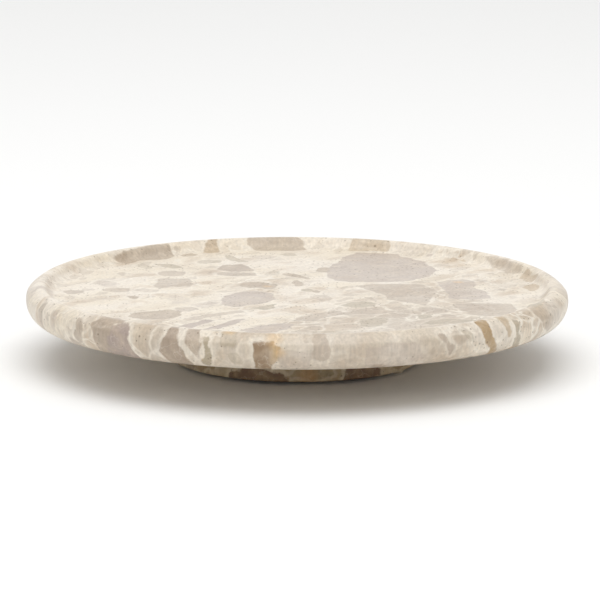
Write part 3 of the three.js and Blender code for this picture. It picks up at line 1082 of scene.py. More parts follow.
@dataclass
class Tray:
    """The rimmed marble tray that turns. Sizes in mm, the overall ones from the CAD node."""

    node: str = "turntable_plate"
    depth: float = 6.0
    slope_width: float = 10.7
    slope_radius: float = 4.5
    crest_radius: float = 4.0
    shoulder_radius: float = 18.0
    break_radius: float = 2.0
    lower_radius: float = 10.0
    crest_angle: float = 60.0
    shoulder_angle: float = 40.0
    face_top_angle: float = 15.0
    face_bottom_angle: float = -40.0
    socket_radius: float = 2.65
    socket_depth: float = 6.0
    socket_circle: float = 55.45
    segments: int = 448
    spacing: float = 2.0
    edge_spacing: float = 1.3

    def __post_init__(self) -> None:
        """Takes the overall sizes from the CAD node."""
        low, high = box_mm(self.node)
        self.radius = high[0]
        self.bottom = low[2]
        self.top = high[2]
        self.floor = self.top - self.depth

    def outline(self) -> np.ndarray:
        """Works out the half outline, from the axis under the tray, round the rim, to the axis above.

        The rim is a chain of tangent arcs. The face's radius is what makes their heights add up to
        the thickness. The slope inside the rim is a round arc and a hollow one that turn by the same
        angle, twice the arc tangent of depth over width.

        Returns:
            Points (radius, height) in mm.
        """
        angles = (self.face_bottom_angle, self.face_top_angle, self.shoulder_angle, self.crest_angle)
        low_sine, top_sine, shoulder_sine, crest_sine = np.sin(np.radians(angles))
        low_cosine = math.cos(math.radians(self.face_bottom_angle))
        rounded = (
            self.lower_radius * (1 + low_sine)
            + self.break_radius * (shoulder_sine - top_sine)
            + self.shoulder_radius * (crest_sine - shoulder_sine)
            + self.crest_radius * (1 - crest_sine)
        )
        face = (self.top - self.bottom - rounded) / (top_sine - low_sine)
        undercut = face * (1 - low_cosine) + self.lower_radius * low_cosine
        slope = math.degrees(2 * math.atan2(self.depth, self.slope_width))
        cove = self.slope_width / math.sin(math.radians(slope)) - self.slope_radius
        under_edge = (self.radius - undercut, self.bottom)
        rim = arcs_from(
            under_edge,
            [
                Arc(self.lower_radius, -90, self.face_bottom_angle),
                Arc(face, self.face_bottom_angle, 0),
                Arc(face, 0, self.face_top_angle),
                Arc(self.break_radius, self.face_top_angle, self.shoulder_angle),
                Arc(self.shoulder_radius, self.shoulder_angle, self.crest_angle),
                Arc(self.crest_radius, self.crest_angle, 90),
                Arc(self.slope_radius, 90, 90 + slope),
                Arc(-cove, 90 + slope, 90),
            ],
            self.edge_spacing,
        )
        rim[-1, 1] = self.floor
        under = straight((0.0, self.bottom), under_edge, self.spacing)
        floor = straight((rim[-1, 0], self.floor), (0.0, self.floor), self.spacing)[1:]
        return np.concatenate([under, rim, floor, [[0.0, self.floor]]])

    def block(
        self, x: float, y: float, wide: float, deep: float, turn: float, tone: Tone, strength: float
    ) -> Block:
        """Makes a clast that the tray's floor cuts through near its middle.

        Args:
            x: the place of its middle in mm, towards the right.
            y: the same, towards the back.
            wide: its width in mm.
            deep: its depth from front to back in mm.
            turn: how far it is turned about the upright axis, in degrees.
            tone: its tone.
            strength: how dark it looks, from 0 to 1.

        Returns:
            The clast.
        """
        size = (wide, deep, 0.8 * min(wide, deep) + 6.0)
        return Block((x, y, self.floor - 1.0), size, turn, tone, strength)

    def floor_clasts(self) -> list[Shard | Block]:
        """Lists the clasts that show on the tray's floor and on the slope inside its rim.

        Returns:
            Clasts from rows of tone, strength and corners, and from rows of middle, width, depth,
            turn, tone and strength.
        """
        taupe, mauve, brown, gold, olive = Tone
        outlines = [
            # Behind, on the right.
            (mauve, 0.64, ((17, 50), (22, 38), (30, 33), (62, 36), (76, 51), (81, 72), (76, 92),
                (70, 106), (62, 113), (60, 122), (35, 128), (27, 110), (22, 92), (18, 78))),
            (gold, 0.45, ((30, 132), (44, 130), (54, 127), (56, 134), (50, 141), (34, 146))),
            (taupe, 0.55, ((34, 23), (43, 28), (68, 29), (75, 22), (79, 5), (76, -12), (71, -34),
                (62, -27), (50, -17), (48, -2), (42, 6))),
            (mauve, 0.55, ((80, 34), (88, 42), (95, 44), (102, 38), (102, 24), (99, 18), (108, 5),
                (109, -14), (96, -17), (85, -15), (84, 5), (81, 20))),
            (taupe, 0.55, ((84, -32), (96, -28), (119, -28), (122, -45), (118, -60), (104, -66),
                (95, -60), (90, -46))),
            (brown, 0.5, ((11, 78), (17, 80), (20, 72), (17, 64), (11, 66))),
            (brown, 0.32, ((109, 91), (116, 86), (131, 60), (129, 54), (124, 58), (116, 70))),
            (gold, 0.42, ((126, 48), (132, 52), (138, 33), (134, 32), (130, 38))),
            (taupe, 0.4, ((103, 44), (108, 42), (107, 34), (103, 35))),
            (brown, 0.22, ((21, 132), (26, 139), (27, 133), (24, 118))),
            # Behind, on the left.
            (taupe, 0.72, ((-47, 76), (-42, 86), (-33, 88), (-28, 80), (-25, 66), (-38, 64),
                (-46, 70))),
            (taupe, 0.65, ((-46, 62), (-24, 62), (-24, 53), (-34, 50), (-46, 53))),
            (olive, 0.6, ((-84, 88), (-73, 88), (-66, 76), (-72, 73), (-80, 80))),
            (taupe, 0.55, ((-80, 62), (-72, 68), (-65, 64), (-65, 52), (-72, 49), (-80, 51))),
            (taupe, 0.55, ((-79, 42), (-62, 42), (-59, 36), (-60, 18), (-72, 17), (-79, 9),
                (-81, 22))),
            (brown, 0.5, ((-34, 28), (-30, 33), (-20, 32), (-10, 24), (-15, 11), (-22, 14),
                (-31, 17))),
            (taupe, 0.55, ((-110, 12), (-95, 12), (-94, 1), (-104, 1), (-110, 5))),
            (taupe, 0.6, ((-133, 3), (-127, 7), (-120, 4), (-120, -4), (-128, -8))),
            (brown, 0.55, ((-108, 90), (-98, 104), (-86, 116), (-76, 122), (-72, 112), (-77, 102),
                (-92, 97), (-98, 88))),
            (gold, 0.58, ((-57, 122), (-52, 138), (-47, 140), (-46, 126))),
            (brown, 0.5, ((-30, 138), (-28, 144), (-12, 147), (1, 145), (7, 134), (-5, 131),
                (-24, 132))),
            (olive, 0.55, ((-42, 116), (-37, 112), (-29, 96), (-34, 93), (-43, 106))),
            (brown, 0.55, ((-10, 60), (-2, 59), (8, 45), (7, 41), (0, 47), (-8, 54))),
            (brown, 0.5, ((-1, 38), (4, 31), (3, 20), (-2, 19), (-3, 29))),
            # In front, on the right: pieces packed close together.
            (olive, 0.6, ((24, -36), (30, -27), (37, -23), (46, -30), (43, -38), (31, -42))),
            (taupe, 0.36, ((24, -58), (31, -46), (44, -42), (46, -52), (40, -66), (29, -69))),
            (taupe, 0.5, ((-2, -80), (1, -69), (12, -58), (24, -51), (27, -60), (15, -70),
                (10, -82))),
            (olive, 0.5, ((34, -76), (42, -69), (50, -72), (49, -84), (42, -97), (34, -93))),
            (taupe, 0.3, ((50, -40), (58, -37), (62, -50), (60, -76), (53, -72))),
            (taupe, 0.45, ((67, -38), (77, -40), (85, -50), (82, -55), (70, -57), (66, -48))),
            (olive, 0.6, ((66, -61), (74, -60), (75, -70), (67, -73))),
            (taupe, 0.42, ((79, -58), (88, -62), (87, -69), (80, -67))),
            (olive, 0.6, ((68, -84), (78, -73), (88, -73), (101, -78), (100, -84), (84, -86),
                (72, -90))),
            (taupe, 0.35, ((8, -6), (16, -5), (21, -16), (15, -25), (8, -16))),
            (taupe, 0.15, ((6, -86), (20, -80), (31, -84), (31, -98), (16, -102), (7, -98))),
            (taupe, 0.32, ((52, -84), (62, -80), (66, -96), (56, -106), (48, -98))),
            (taupe, 0.42, ((72, -94), (90, -91), (92, -108), (80, -118), (70, -108))),
            (taupe, 0.15, ((34, -104), (48, -104), (64, -110), (58, -124), (36, -124))),
            (olive, 0.4, ((8, -108), (28, -106), (30, -122), (22, -140), (10, -138))),
            (olive, 0.6, ((126, -58), (128, -34), (134, -26), (138, -44), (136, -62), (130, -70))),
            (taupe, 0.16, ((106, -90), (111, -68), (119, -64), (116, -80), (111, -95))),
            # In front, on the left.
            (mauve, 0.62, ((-41, -10), (-30, 4), (-19, 4), (-13, -3), (-12, -20), (-20, -33),
                (-34, -42), (-43, -36), (-42, -24))),
            (olive, 0.65, ((-26, -45), (-18, -37), (-12, -32), (-12, -44), (-18, -50))),
            (brown, 0.56, ((-92, -62), (-82, -55), (-72, -50), (-64, -55), (-64, -68), (-74, -79),
                (-86, -77), (-93, -70))),
            (taupe, 0.45, ((-67, -44), (-58, -41), (-53, -48), (-60, -56), (-66, -52))),
            (mauve, 0.25, ((-60, -38), (-48, -22), (-44, -34), (-50, -46))),
            (taupe, 0.5, ((-64, -76), (-50, -63), (-31, -51), (-28, -57), (-45, -68), (-59, -82))),
            (mauve, 0.76, ((-65, -98), (-59, -90), (-50, -78), (-44, -79), (-50, -90), (-58, -101))),
            (mauve, 0.74, ((-52, -105), (-42, -92), (-36, -78), (-29, -75), (-32, -87), (-41, -103))),
            (mauve, 0.6, ((-31, -107), (-20, -94), (-10, -87), (-1, -89), (-4, -100), (-12, -113),
                (-26, -115))),
            (taupe, 0.2, ((-118, -16), (-104, -15), (-102, -22), (-117, -23))),
            # Pieces that run from the floor out over the front of the rim and down its face.
            (taupe, 0.7, ((-64, -112), (-54, -103), (-42, -107), (-39, -113), (-46, -122),
                (-50, -134), (-60, -130), (-65, -120))),
            (taupe, 0.5, ((-110, -78), (-98, -73), (-93, -88), (-90, -103), (-94, -118),
                (-104, -104))),
        ]
        blocks = [
            # Behind, on the left.
            (-52, 95, 17, 10, 20, olive, 0.45),
            (-85, 6, 13, 10, 0, taupe, 0.35),
            (-14, 60, 9, 16, 0, olive, 0.35),
            (-101, 56, 5, 10, 0, taupe, 0.5),
            (-89, 80, 8, 22, 20, olive, 0.35),
            (-5, 119, 10, 11, 0, olive, 0.4),
            (-20, 112, 16, 12, 0, taupe, 0.25),
            (-64, 116, 9, 8, 0, brown, 0.5),
            # In front, on the right: pieces packed close together.
            (6, 8, 6, 9, 0, olive, 0.6),
            (11, 4, 5, 9, 0, brown, 0.6),
            (27, -18, 5, 17, -30, taupe, 0.4),
            (42, -17, 4, 15, 20, taupe, 0.45),
            (116, 13, 6, 9, 0, taupe, 0.35),
            (133, 18, 9, 20, 0, gold, 0.5),
            (100, -90, 7, 7, 0, gold, 0.5),
            # In front, on the left.
            (-92, -15, 6, 11, 15, brown, 0.6),
            (-127, -15, 9, 7, 0, taupe, 0.3),
            (-67, -20, 12, 26, 15, mauve, 0.22),
            (-108, 25, 10, 26, 20, mauve, 0.25),
        ]
        return [*shards(Side.TOP, outlines), *(self.block(*row) for row in blocks)]

    def wall_clasts(self) -> list[Shard]:
        """Lists the clasts of the near face of the rim.

        Returns:
            Clasts from rows of tone, strength and corners, about from the left to the right.
        """
        taupe, mauve, brown, gold, olive = Tone
        return shards(
            Side.WALL,
            [
                (mauve, 0.3, ((-84, 21), (-79, 18), (-80, 8), (-86, 6), (-90, 14))),
                (taupe, 0.55, ((-69.8, 19), (-68, 18), (-66.6, 10), (-67.2, 2), (-69, 3), (-69.2, 11))),
                (mauve, 0.3, ((-63, 18), (-60, 15), (-60.5, 4), (-63, 8))),
                (taupe, 0.6, ((-53.4, 19), (-50.8, 17), (-49.6, 12), (-51, 3), (-53, 6), (-52, 12))),
                (taupe, 0.72, ((-47.6, 17), (-45, 22), (-42, 20), (-41, 12), (-42.5, -2), (-45.4, -2),
                    (-46.4, 8))),
                (mauve, 1.0, ((-43.4, 8), (-41.6, 17), (-39, 21), (-37, 18), (-36, 10), (-34, -2),
                    (-43.5, -2))),
                (taupe, 0.92, ((-28, 19), (-26, 22), (-24.8, 15), (-23, 8), (-21.8, -2), (-27, -2),
                    (-28.8, 8))),
                (taupe, 0.75, ((-24.2, 22), (-20.4, 22), (-19.9, 12), (-20.4, 5), (-21.8, 10),
                    (-23.2, 16))),
                (olive, 0.85, ((-19.4, 19), (-18, 17), (-17.4, 8), (-18.6, 1), (-19.8, 3), (-18.8, 9))),
                (olive, 0.45, ((-16.4, 22), (-13, 21), (-11.6, 16), (-12.4, 12), (-15.4, 13))),
                (olive, 0.4, ((-14.5, 9), (-12, 10), (-11, 4), (-13, 2))),
                (brown, 0.95, ((-9.2, 17), (-5, 16.4), (-4.6, 9), (-5.6, 0), (-7.4, -2), (-9, 2))),
                (gold, 0.75, ((-6.2, 15.5), (-3.4, 14), (-3.8, 6), (-5.4, 3))),
                (taupe, 0.55, ((3, 21), (3.2, 8), (5, 5.5), (6.4, 8), (6.6, 16), (5.8, 22))),
                (taupe, 0.25, ((10.4, 14), (12.4, 12), (12, 4), (10.6, 5))),
                (mauve, 0.28, ((-3.4, 12), (2.4, 11), (3, 2), (0, -1), (-3.8, 1))),
                (mauve, 0.3, ((13.5, 13), (19, 15), (25, 13), (27, 5), (20, 0), (14, 2))),
                (taupe, 0.65, ((30.2, 17), (31.6, 16), (33.4, 10), (33.2, 5), (32, 8))),
                (olive, 0.35, ((35.6, 18), (38.2, 16), (38.4, 10), (37.4, 11), (36.8, 14))),
                (gold, 0.85, ((41, 19.5), (43.6, 20), (44, 12), (46.2, 5), (47.2, -1), (45, -1), (43, 6),
                    (41.2, 12))),
                (gold, 0.55, ((47.4, 20), (50, 20), (50.4, 12), (48.8, 10))),
                (olive, 0.75, ((50.8, 19), (53, 17), (52.2, 11), (54.4, 3), (53.6, -1), (51.8, 2),
                    (51, 11))),
                (brown, 0.22, ((60, 19), (68, 21), (77, 18), (74, 9), (66, 5), (61, 11))),
                (brown, 0.25, ((82, 20), (88, 22), (89, 8), (83, 6))),
            ],
        )

    def hidden_clasts(self) -> list[Shard | Block]:
        """Scatters clasts over the sides that face away: the far face of the rim and the underside.

        Returns:
            Clasts placed by a seeded random choice, round the rim and on an uneven grid of 25 mm.
        """
        rng = np.random.default_rng(11)
        tones = list(Tone)
        scattered: list[Shard | Block] = []
        for angle in np.arange(98.0, 262.0, 9.0):
            wide, lean = rng.uniform(1.2, 4.0), rng.uniform(-1.5, 1.5)
            low, high = rng.uniform(-3, 6), rng.uniform(11, 16)
            corners = (
                (angle - wide, low),
                (angle + wide + lean, low - 1),
                (angle + wide * 1.2, (low + high) / 2),
                (angle + wide - lean, high),
                (angle - wide * 0.7, high - 1),
            )
            tone = tones[int(rng.choice(5, p=[0.4, 0.25, 0.15, 0.1, 0.1]))]
            scattered.append(Shard(corners, Side.WALL, tone, rng.uniform(0.4, 0.9)))
        grid = np.arange(-137.5, 138.0, 25.0)
        for x in grid:
            for y in grid:
                if math.hypot(x, y) > 146 or rng.uniform() < 0.3:
                    continue
                wide, deep = rng.uniform(9, 28, 2)
                tone = tones[int(rng.choice(5, p=[0.45, 0.25, 0.1, 0.1, 0.1]))]
                dx, dy, turn = rng.uniform(-8, 8), rng.uniform(-8, 8), rng.uniform(0, 180)
                middle = (x + dx, y + dy, self.bottom - 1.0)
                scattered.append(Block(middle, (wide, deep, 14.0), turn, tone, rng.uniform(0.4, 0.9)))
        return scattered

    def pattern(self) -> StonePattern:
        """Gathers the tray's clasts, its rust stains, its packed patches and its patches of painted shade.

        Returns:
            The pattern.
        """
        top = self.top
        rust = [
            Spot(-12, -147, top - 4, 7.0),
            Spot(-9, -150, top - 9, 4.5),
            Spot(-10, -134, top - 3, 6.0),
            Spot(-37, -127, top - 4, 6.0),
            Spot(-36, -140, top - 1, 5.0),
            Spot(92, 35, self.floor, 4.0),
            Spot(-17, 20, self.floor, 4.0),
            Spot(100, -92, self.floor, 6.0),
        ]
        packed = [
            Spot(40, -62, self.floor, 45.0),
            Spot(85, -72, self.floor, 38.0),
            Spot(20, -100, self.floor, 40.0),
            Spot(122, -84, top - 4, 20.0),
            Spot(75, 5, self.floor, 34.0),
            Spot(-20, 20, self.floor, 24.0),
            Spot(-92, -115, top - 10, 30.0),
        ]
        # Painted shade: spots low on the near face of the rim and on its right side, and one that darkens
        # the floor in front on the right the same way.
        shaded = [
            Spot(-22, -158, self.bottom + 4, 34.0),
            Spot(25, -156, self.bottom + 4, 40.0),
            Spot(70, -142, self.bottom + 4, 30.0),
            Spot(-75, -138, self.bottom + 4, 24.0),
            Spot(60, -75, self.floor, 40.0),
            Spot(148, 34, self.bottom + 4, 18.0),
        ]
        clasts = [*self.floor_clasts(), *self.wall_clasts(), *self.hidden_clasts()]
        return StonePattern(self.radius, self.bottom, clasts, rust, packed, shaded)

    def build(self, marble: Material) -> None:
        """Makes the tray, drills the sockets for its inserts and dresses it.

        Args:
            marble: its finish.
        """
        ends = self.bottom, self.bottom + self.socket_depth - OVERCUT
        wall = [(self.socket_radius, height) for height in ends]
        sockets = [cutter(wall, around(self.socket_circle, angle)) for angle in even_angles(4, 45.0)]
        mesh = drilled(turned_mesh("marble_tray", self.outline(), self.segments), sockets)
        self.pattern().paint(mesh)
        piece = new_piece("marble_tray", mesh)
        finish_piece(piece, Body.TURNTABLE, [self.node], marble)


@dataclass
class Base:
    """The smaller marble disc under the tray. Sizes in mm, the overall ones from the CAD node."""

    node: str = "base_disc"
    edge_radius: float = 1.0
    hole_radius: float = 2.15
    counterbore_radius: float = 5.0
    counterbore_depth: float = 5.0
    hole_circle: float = 42.05
    segments: int = 320
    spacing: float = 2.0
    edge_spacing: float = 0.3

    def __post_init__(self) -> None:
        """Takes the overall sizes from the CAD node."""
        low, high = box_mm(self.node)
        self.radius = high[0]
        self.bottom = low[2]
        self.top = high[2]

    def outline(self) -> np.ndarray:
        """Works out the half outline: a flat disc whose two edges are quarter rounds.

        Returns:
            Points (radius, height) in mm.
        """
        inner = self.radius - self.edge_radius
        low_start, high_start = (inner, self.bottom), (self.radius, self.top - self.edge_radius)
        low_round = arcs_from(low_start, [Arc(self.edge_radius, -90, 0)], self.edge_spacing)
        high_round = arcs_from(high_start, [Arc(self.edge_radius, 0, 90)], self.edge_spacing)
        return np.concatenate(
            [
                straight((0.0, self.bottom), (inner, self.bottom), self.spacing),
                low_round[:-1],
                straight(tuple(low_round[-1]), tuple(high_round[0]), self.spacing),
                high_round[:-1],
                straight((inner, self.top), (0.0, self.top), self.spacing),
                [[0.0, self.top]],
            ]
        )

    def pattern(self) -> StonePattern:
        """Gathers the base's clasts: those drawn on the near wall first, then a seeded scatter.

        Returns:
            The pattern.
        """
        outlines = [
            (Tone.BROWN, 1.0, ((-34, -2), (-33, 4), (-20, 8), (-8, 5), (-2, -2))),
            (Tone.BROWN, 1.0, ((21, -2), (23, 8), (30, 12), (39, 10), (41, 2), (37, -2))),
            (Tone.OLIVE, 0.8, ((-4, 3), (2, 10), (14, 11), (18, 4), (10, 1))),
            (Tone.GOLD, 0.6, ((-60, 1), (-58, 9), (-44, 12), (-40, 3))),
            (Tone.GOLD, 0.7, ((48, 2), (52, 11), (64, 12), (66, 3))),
        ]
        clasts: list[Shard | Block] = [*shards(Side.WALL, outlines)]
        rng = np.random.default_rng(5)
        for x in np.arange(-60.0, 61.0, 20.0):
            for y in np.arange(-60.0, 61.0, 20.0):
                hidden = y > -30 or abs(x) > 50
                if hidden and math.hypot(x, y) < 74 and rng.uniform() > 0.2:
                    wide, deep = rng.uniform(8, 24, 2)
                    tone = list(Tone)[int(rng.choice(5, p=[0.4, 0.2, 0.2, 0.1, 0.1]))]
                    dx, dy, turn = rng.uniform(-6, 6), rng.uniform(-6, 6), rng.uniform(0, 180)
                    middle = (x + dx, y + dy, self.bottom + rng.uniform(3, 11))
                    clasts.append(Block(middle, (wide, deep, 16.0), turn, tone, rng.uniform(0.5, 1.0)))
        rust = [Spot(*around(self.radius, 5), self.bottom + 4, 8.0)]
        packed = [Spot(0, -70, self.bottom + 6, 60.0), Spot(20, 30, self.bottom, 30.0)]
        # The packed patches are used again as the patches of painted shade, darkening the near face of the
        # base under the tray and a patch of its underside.
        return StonePattern(self.radius, self.bottom, clasts, rust, packed, packed)

    def build(self, marble: Material) -> None:
        """Makes the base, drills and counterbores it for its screws, and dresses it.

        Args:
            marble: its finish.
        """
        seat = self.bottom + self.counterbore_depth
        wide, narrow = self.counterbore_radius, self.hole_radius
        stepped = [(wide, self.bottom), (wide, seat), (narrow, seat), (narrow, self.top)]
        holes = [cutter(stepped, around(self.hole_circle, a)) for a in even_angles(4, OFF_THE_EDGES)]
        mesh = drilled(turned_mesh("marble_base", self.outline(), self.segments), holes)
        self.pattern().paint(mesh)
        piece = new_piece("marble_base", mesh)
        finish_piece(piece, Body.BASE, [self.node], marble)


@dataclass
class BumperFeet:
    """The three clear domes under the base. Sizes in mm, their places from the CAD nodes."""

    nodes: tuple[str, ...] = ("bumper_foot_1", "bumper_foot_2", "bumper_foot_3")
    flat_diameter: float = 5.0
    segments: int = 48
    side_points: int = 13

    def outline(self, radius: float, bottom: float, top: float) -> np.ndarray:
        """Works out a foot's half outline: a flat end, then a quarter of an ellipse up to full width.

        Args:
            radius: the foot's full radius in mm.
            bottom: the height of its flat end in mm.
            top: the height where it meets the base in mm.

        Returns:
            Points (radius, height) in mm.
        """
        flat = self.flat_diameter / 2
        angle = np.radians(np.linspace(-90, 0, self.side_points))
        side = np.stack([flat + (radius - flat) * np.cos(angle), top + (top - bottom) * np.sin(angle)], 1)
        return np.concatenate([[[0.0, bottom]], side, [[0.0, top]]])

    def build(self, clear: Material) -> None:
        """Makes and dresses the feet.

        Args:
            clear: their finish.
        """
        for node in self.nodes:
            low, high = box_mm(node)
            centre = ((low[0] + high[0]) / 2, (low[1] + high[1]) / 2)
            outline = self.outline((high[0] - low[0]) / 2, low[2], high[2])
            piece = new_piece(f"clear_{node}", turned_mesh(node, outline, self.segments, centre))
            finish_piece(piece, Body.BASE, [node], clear)


@dataclass
class RingBearing:
    """The ball ring between the tray and the base. Sizes in mm, the overall ones from the CAD nodes."""

    outer: str = "bearing_outer_ring"
    lower: str = "bearing_inner_lower"
    upper: str = "bearing_inner_upper"
    cage: str = "ball_cage"
    ball_count: int = 24
    race_gap: float = 1.8
    groove_clearance: float = 0.2
    chamfer: float = 0.5
    inner_width: float = 14.1
    ring_head_radius: float = 2.95
    ring_hole_radius: float = 1.65
    base_hole_radius: float = 2.15
    segments: int = 224
    groove_spacing: float = 0.3
    ball_points: int = 13
    ball_segments: int = 24

    def __post_init__(self) -> None:
        """Takes the overall sizes from the CAD nodes."""
        ball_low, ball_high = box_mm("bearing_ball_01")
        self.ball_radius = (ball_high[2] - ball_low[2]) / 2
        self.ball_height = (ball_high[2] + ball_low[2]) / 2
        self.circle = -(ball_low[1] + ball_high[1]) / 2
        self.groove = self.ball_radius + self.groove_clearance
        self.opening = math.degrees(math.acos(self.race_gap / 2 / self.groove))

    def groove_arc(self, start: float, end: float) -> np.ndarray:
        """Works out a stretch of the ball groove.

        Args:
            start: the direction in degrees from the ball's middle to the stretch's first point.
            end: the same for its last point.

        Returns:
            Points (radius, height) in mm.
        """
        angle = math.radians(start)
        out, up = self.groove * math.cos(angle), self.groove * math.sin(angle)
        first = (self.circle + out, self.ball_height + up)
        return arcs_from(first, [Arc(self.groove, start, end)], self.groove_spacing)

    def outer_outline(self) -> np.ndarray:
        """Works out the outer ring's section: a chamfered bar with the groove in its inner wall.

        Returns:
            Points (radius, height) in mm.
        """
        low, high = box_mm(self.outer)
        wall, outside, cut = self.circle + self.race_gap / 2, high[0], self.chamfer
        bar = [
            (wall, low[2]),
            (outside - cut, low[2]),
            (outside, low[2] + cut),
            (outside, high[2] - cut),
            (outside - cut, high[2]),
            (wall, high[2]),
        ]
        return np.concatenate([bar, self.groove_arc(self.opening, -self.opening)])

    def inner_outline(self, node: str, upper: bool) -> np.ndarray:
        """Works out an inner half ring's section.

        Args:
            node: its CAD node.
            upper: whether it is the upper half.

        Returns:
            Points (radius, height) in mm.
        """
        low, high = box_mm(node)
        wall = self.circle - self.race_gap / 2
        bore = wall - self.inner_width
        if upper:
            groove = self.groove_arc(180, 180 - self.opening)
            rest = [(wall, high[2]), (bore + self.chamfer, high[2]), (bore, high[2] - self.chamfer)]
            return np.concatenate([[(bore, low[2])], groove, rest])
        groove = self.groove_arc(180 + self.opening, 180)
        return np.concatenate([[(bore, low[2]), (wall, low[2])], groove, [(bore, high[2])]])

    def countersink(self, low: float, high: float) -> list[Point]:
        """Works out the wall of a ring screw's hole: a cone that narrows at 45 degrees, then straight.

        Args:
            low: the height of the ring's underside in mm.
            high: the height of its top in mm.

        Returns:
            Points (radius, height) in mm. The first is as wide as the cone is OVERCUT further down.
        """
        head, shank = self.ring_head_radius, self.ring_hole_radius
        return [(head + OVERCUT, low), (shank, low + head - shank), (shank, high)]

    def build(self, aluminium: Material, steel: Material, nylon: Material) -> None:
        """Makes the rings and the balls, and dresses the cage.

        Args:
            aluminium: the rings' finish.
            steel: the balls' finish.
            nylon: the cage's finish.
        """
        low, high = box_mm(self.outer)
        screw_circle = (self.circle + self.race_gap / 2 + high[0]) / 2
        wall = self.countersink(low[2], high[2])
        holes = [cutter(wall, around(screw_circle, angle)) for angle in even_angles(4, 45.0)]
        mesh = drilled(turned_mesh(self.outer, self.outer_outline(), self.segments), holes)
        piece = new_piece("milled_outer_ring", mesh)
        finish_piece(piece, Body.TURNTABLE, [self.outer], aluminium)
        circle = self.circle - self.race_gap / 2 - self.inner_width / 2
        for node, upper in ((self.lower, False), (self.upper, True)):
            low, high = box_mm(node)
            wall = [(self.base_hole_radius, low[2]), (self.base_hole_radius, high[2])]
            holes = [cutter(wall, around(circle, angle)) for angle in even_angles(4, OFF_THE_EDGES)]
            mesh = drilled(turned_mesh(node, self.inner_outline(node, upper), self.segments), holes)
            piece = new_piece(f"milled_{node}", mesh)
            finish_piece(piece, Body.BASE, [node], aluminium)
        for number in range(1, self.ball_count + 1):
            self.build_ball(f"bearing_ball_{number:02d}", steel)
        dress_nodes([self.cage], nylon)

    def build_ball(self, node: str, steel: Material) -> None:
        """Makes one ball as a half circle turned about its own middle.

        Args:
            node: its CAD node.
            steel: its finish.
        """
        low, high = box_mm(node)
        centre = ((low[0] + high[0]) / 2, (low[1] + high[1]) / 2)
        angle = np.radians(np.linspace(-90, 90, self.ball_points))
        circle = self.ball_radius * np.stack([np.cos(angle), np.sin(angle)], 1)
        outline = circle + [0.0, self.ball_height]
        outline[[0, -1], 0] = 0.0
        piece = new_piece(f"polished_{node}", turned_mesh(node, outline, self.ball_segments, centre))
        finish_piece(piece, Body.CAGE, [node], steel)


@dataclass(frozen=True)
class SoftBox:
    """A square soft light that shines at the object.

    place is where it hangs and size its width, in metres. power is in watts.
    """

    name: str
    place: Place
    size: float
    power: float

    def build(self, aim: Vector) -> None:
        """Hangs the light.

        Args:
            aim: the place that it shines at, in metres.
        """
        data = bpy.data.lights.new(self.name, "AREA")
        data.shape = "SQUARE"
        data.size = self.size
        data.energy = self.power
        light = bpy.data.objects.new(self.name, data)
        light.location = self.place
        light.rotation_euler = (aim - Vector(self.place)).to_track_quat("-Z", "Y").to_euler()
        bpy.context.scene.collection.objects.link(light)


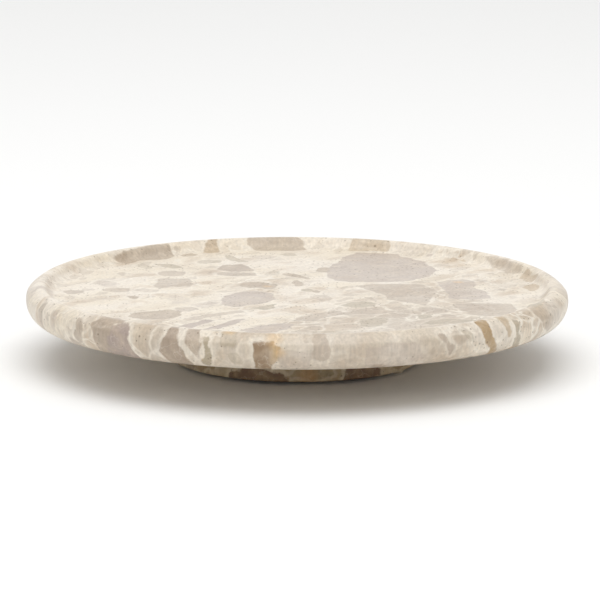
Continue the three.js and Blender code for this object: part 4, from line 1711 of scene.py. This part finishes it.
@dataclass
class Studio:
    """The pale floor, the soft lights and the camera. Lengths in metres, angles in degrees.

    The lights are a large one overhead, a larger one behind and a weak one in front. floor_noise is
    the scale and the detail of the paper's unevenness.
    """

    camera_distance: float = 2.547
    camera_elevation: float = 11.77
    camera_roll: float = 0.26
    aim: Place = (0.0016, 0.0, 0.0345)
    lens: float = 270.5
    floor_half_width: float = 6.0
    floor_colour: str = "fbfbfa"
    floor_dullest: float = 0.985
    floor_noise: Point = (0.7, 1.0)
    lights: tuple[SoftBox, ...] = (
        SoftBox("overhead_softbox", (-0.1, -0.4, 2.2), 2.4, 32.0),
        SoftBox("back_softbox", (0.0, 3.6, 1.6), 3.6, 18.0),
        SoftBox("front_softbox", (0.2, -2.8, 1.2), 2.4, 6.0),
    )
    lights_aim: Place = (0.0, 0.0, 0.03)
    surround: float = 0.6

    def build_floor(self) -> None:
        """Lays a plain pale floor, matt seamless paper with a trace of unevenness in its tone."""
        half = self.floor_half_width
        mesh = bpy.data.meshes.new("studio_floor")
        corners = [(-half, -half, 0), (half, -half, 0), (half, half, 0), (-half, half, 0)]
        mesh.from_pydata(corners, [], [(0, 1, 2, 3)])
        floor = bpy.data.objects.new("studio_floor", mesh)
        bpy.context.scene.collection.objects.link(floor)
        paper, shader = new_material("matt_seamless_paper", {"Roughness": 0.9, "Specular IOR Level": 0.1})
        tree = paper.node_tree
        place = add_node(tree, "ShaderNodeTexCoord").outputs["Object"]
        tone = wire(tree, Step.NOISE, place, *self.floor_noise)
        dull = linear(self.floor_colour, self.floor_dullest)
        colour = wire(tree, Step.MIX, tone, linear(self.floor_colour), dull)
        tree.links.new(colour, shader.inputs["Base Color"])
        mesh.materials.append(paper)

    def build_light(self) -> None:
        """Hangs the soft lights and sets a pale surround."""
        for light in self.lights:
            light.build(Vector(self.lights_aim))
        world = bpy.data.worlds.new("pale_surround")
        world.use_nodes = True
        background = world.node_tree.nodes["Background"]
        background.inputs["Color"].default_value = (1.0, 1.0, 1.0, 1.0)
        background.inputs["Strength"].default_value = self.surround
        bpy.context.scene.world = world

    def build_camera(self) -> None:
        """Sets the camera: a long lens a little above the tray's level, rolled by a trace."""
        rise = math.radians(self.camera_elevation)
        place = Vector((0, -math.cos(rise), math.sin(rise))) * self.camera_distance
        data = bpy.data.cameras.new("camera")
        data.lens = self.lens
        data.clip_end = 50.0
        camera = bpy.data.objects.new("camera", data)
        look = (Vector(self.aim) - place).to_track_quat("-Z", "Y").to_matrix()
        roll = Matrix.Rotation(math.radians(self.camera_roll), 3, "Z")
        camera.matrix_world = Matrix.Translation(place) @ (look @ roll).to_4x4()
        bpy.context.scene.collection.objects.link(camera)
        bpy.context.scene.camera = camera

    def build(self) -> None:
        """Builds the whole studio."""
        self.build_floor()
        self.build_light()
        self.build_camera()
        bpy.context.scene.view_settings.view_transform = "Standard"


def numbered(stem: str, count: int) -> list[str]:
    """Lists the names of repeated CAD nodes."""
    return [f"{stem}_{i}" for i in range(1, count + 1)]


def main() -> None:
    """Builds the pieces and the studio in order."""
    logging.basicConfig(level=logging.INFO, format="%(name)s: %(message)s")
    tray_marble = HonedBreccia().material()
    # The base's marble is a darker, browner copy of the tray's: the darkness is painted shade for the
    # shadow of the tray above it.
    base_marble_with_painted_shade = HonedBreccia(
        name="honed_breccia_marble_base_painted_shade",
        offset=(300.0, 120.0, 60.0),
        cream="d2bf9d",
        ivory="e2d4b9",
        tan="bfa67e",
        seam="e6d9c0",
        faint="a58e6e",
        clast_tones=("8d7761", "8c7668", "7c6049", "9a7b51", "93815f"),
        rust="c29058",
    ).material()
    Tray().build(tray_marble)
    Base().build(base_marble_with_painted_shade)
    BumperFeet().build(ClearPolyurethane().material())
    RingBearing().build(
        MachinedMetal("milled_aluminium", "c9cbcd", 0.34).material(),
        MachinedMetal("polished_bearing_steel", "c2c5c9", 0.12, 0.04).material(),
        MouldedNylon().material(),
    )
    zinc = MachinedMetal("zinc_plated_steel", "b6babf", 0.3).material()
    dress_nodes([*numbered("ring_screw", 4), *numbered("base_screw", 4)], zinc)
    dress_nodes(numbered("plate_insert", 4), MachinedMetal("turned_brass", "c2a15a", 0.32).material())
    Studio().build()


if __name__ == "__main__":
    main()
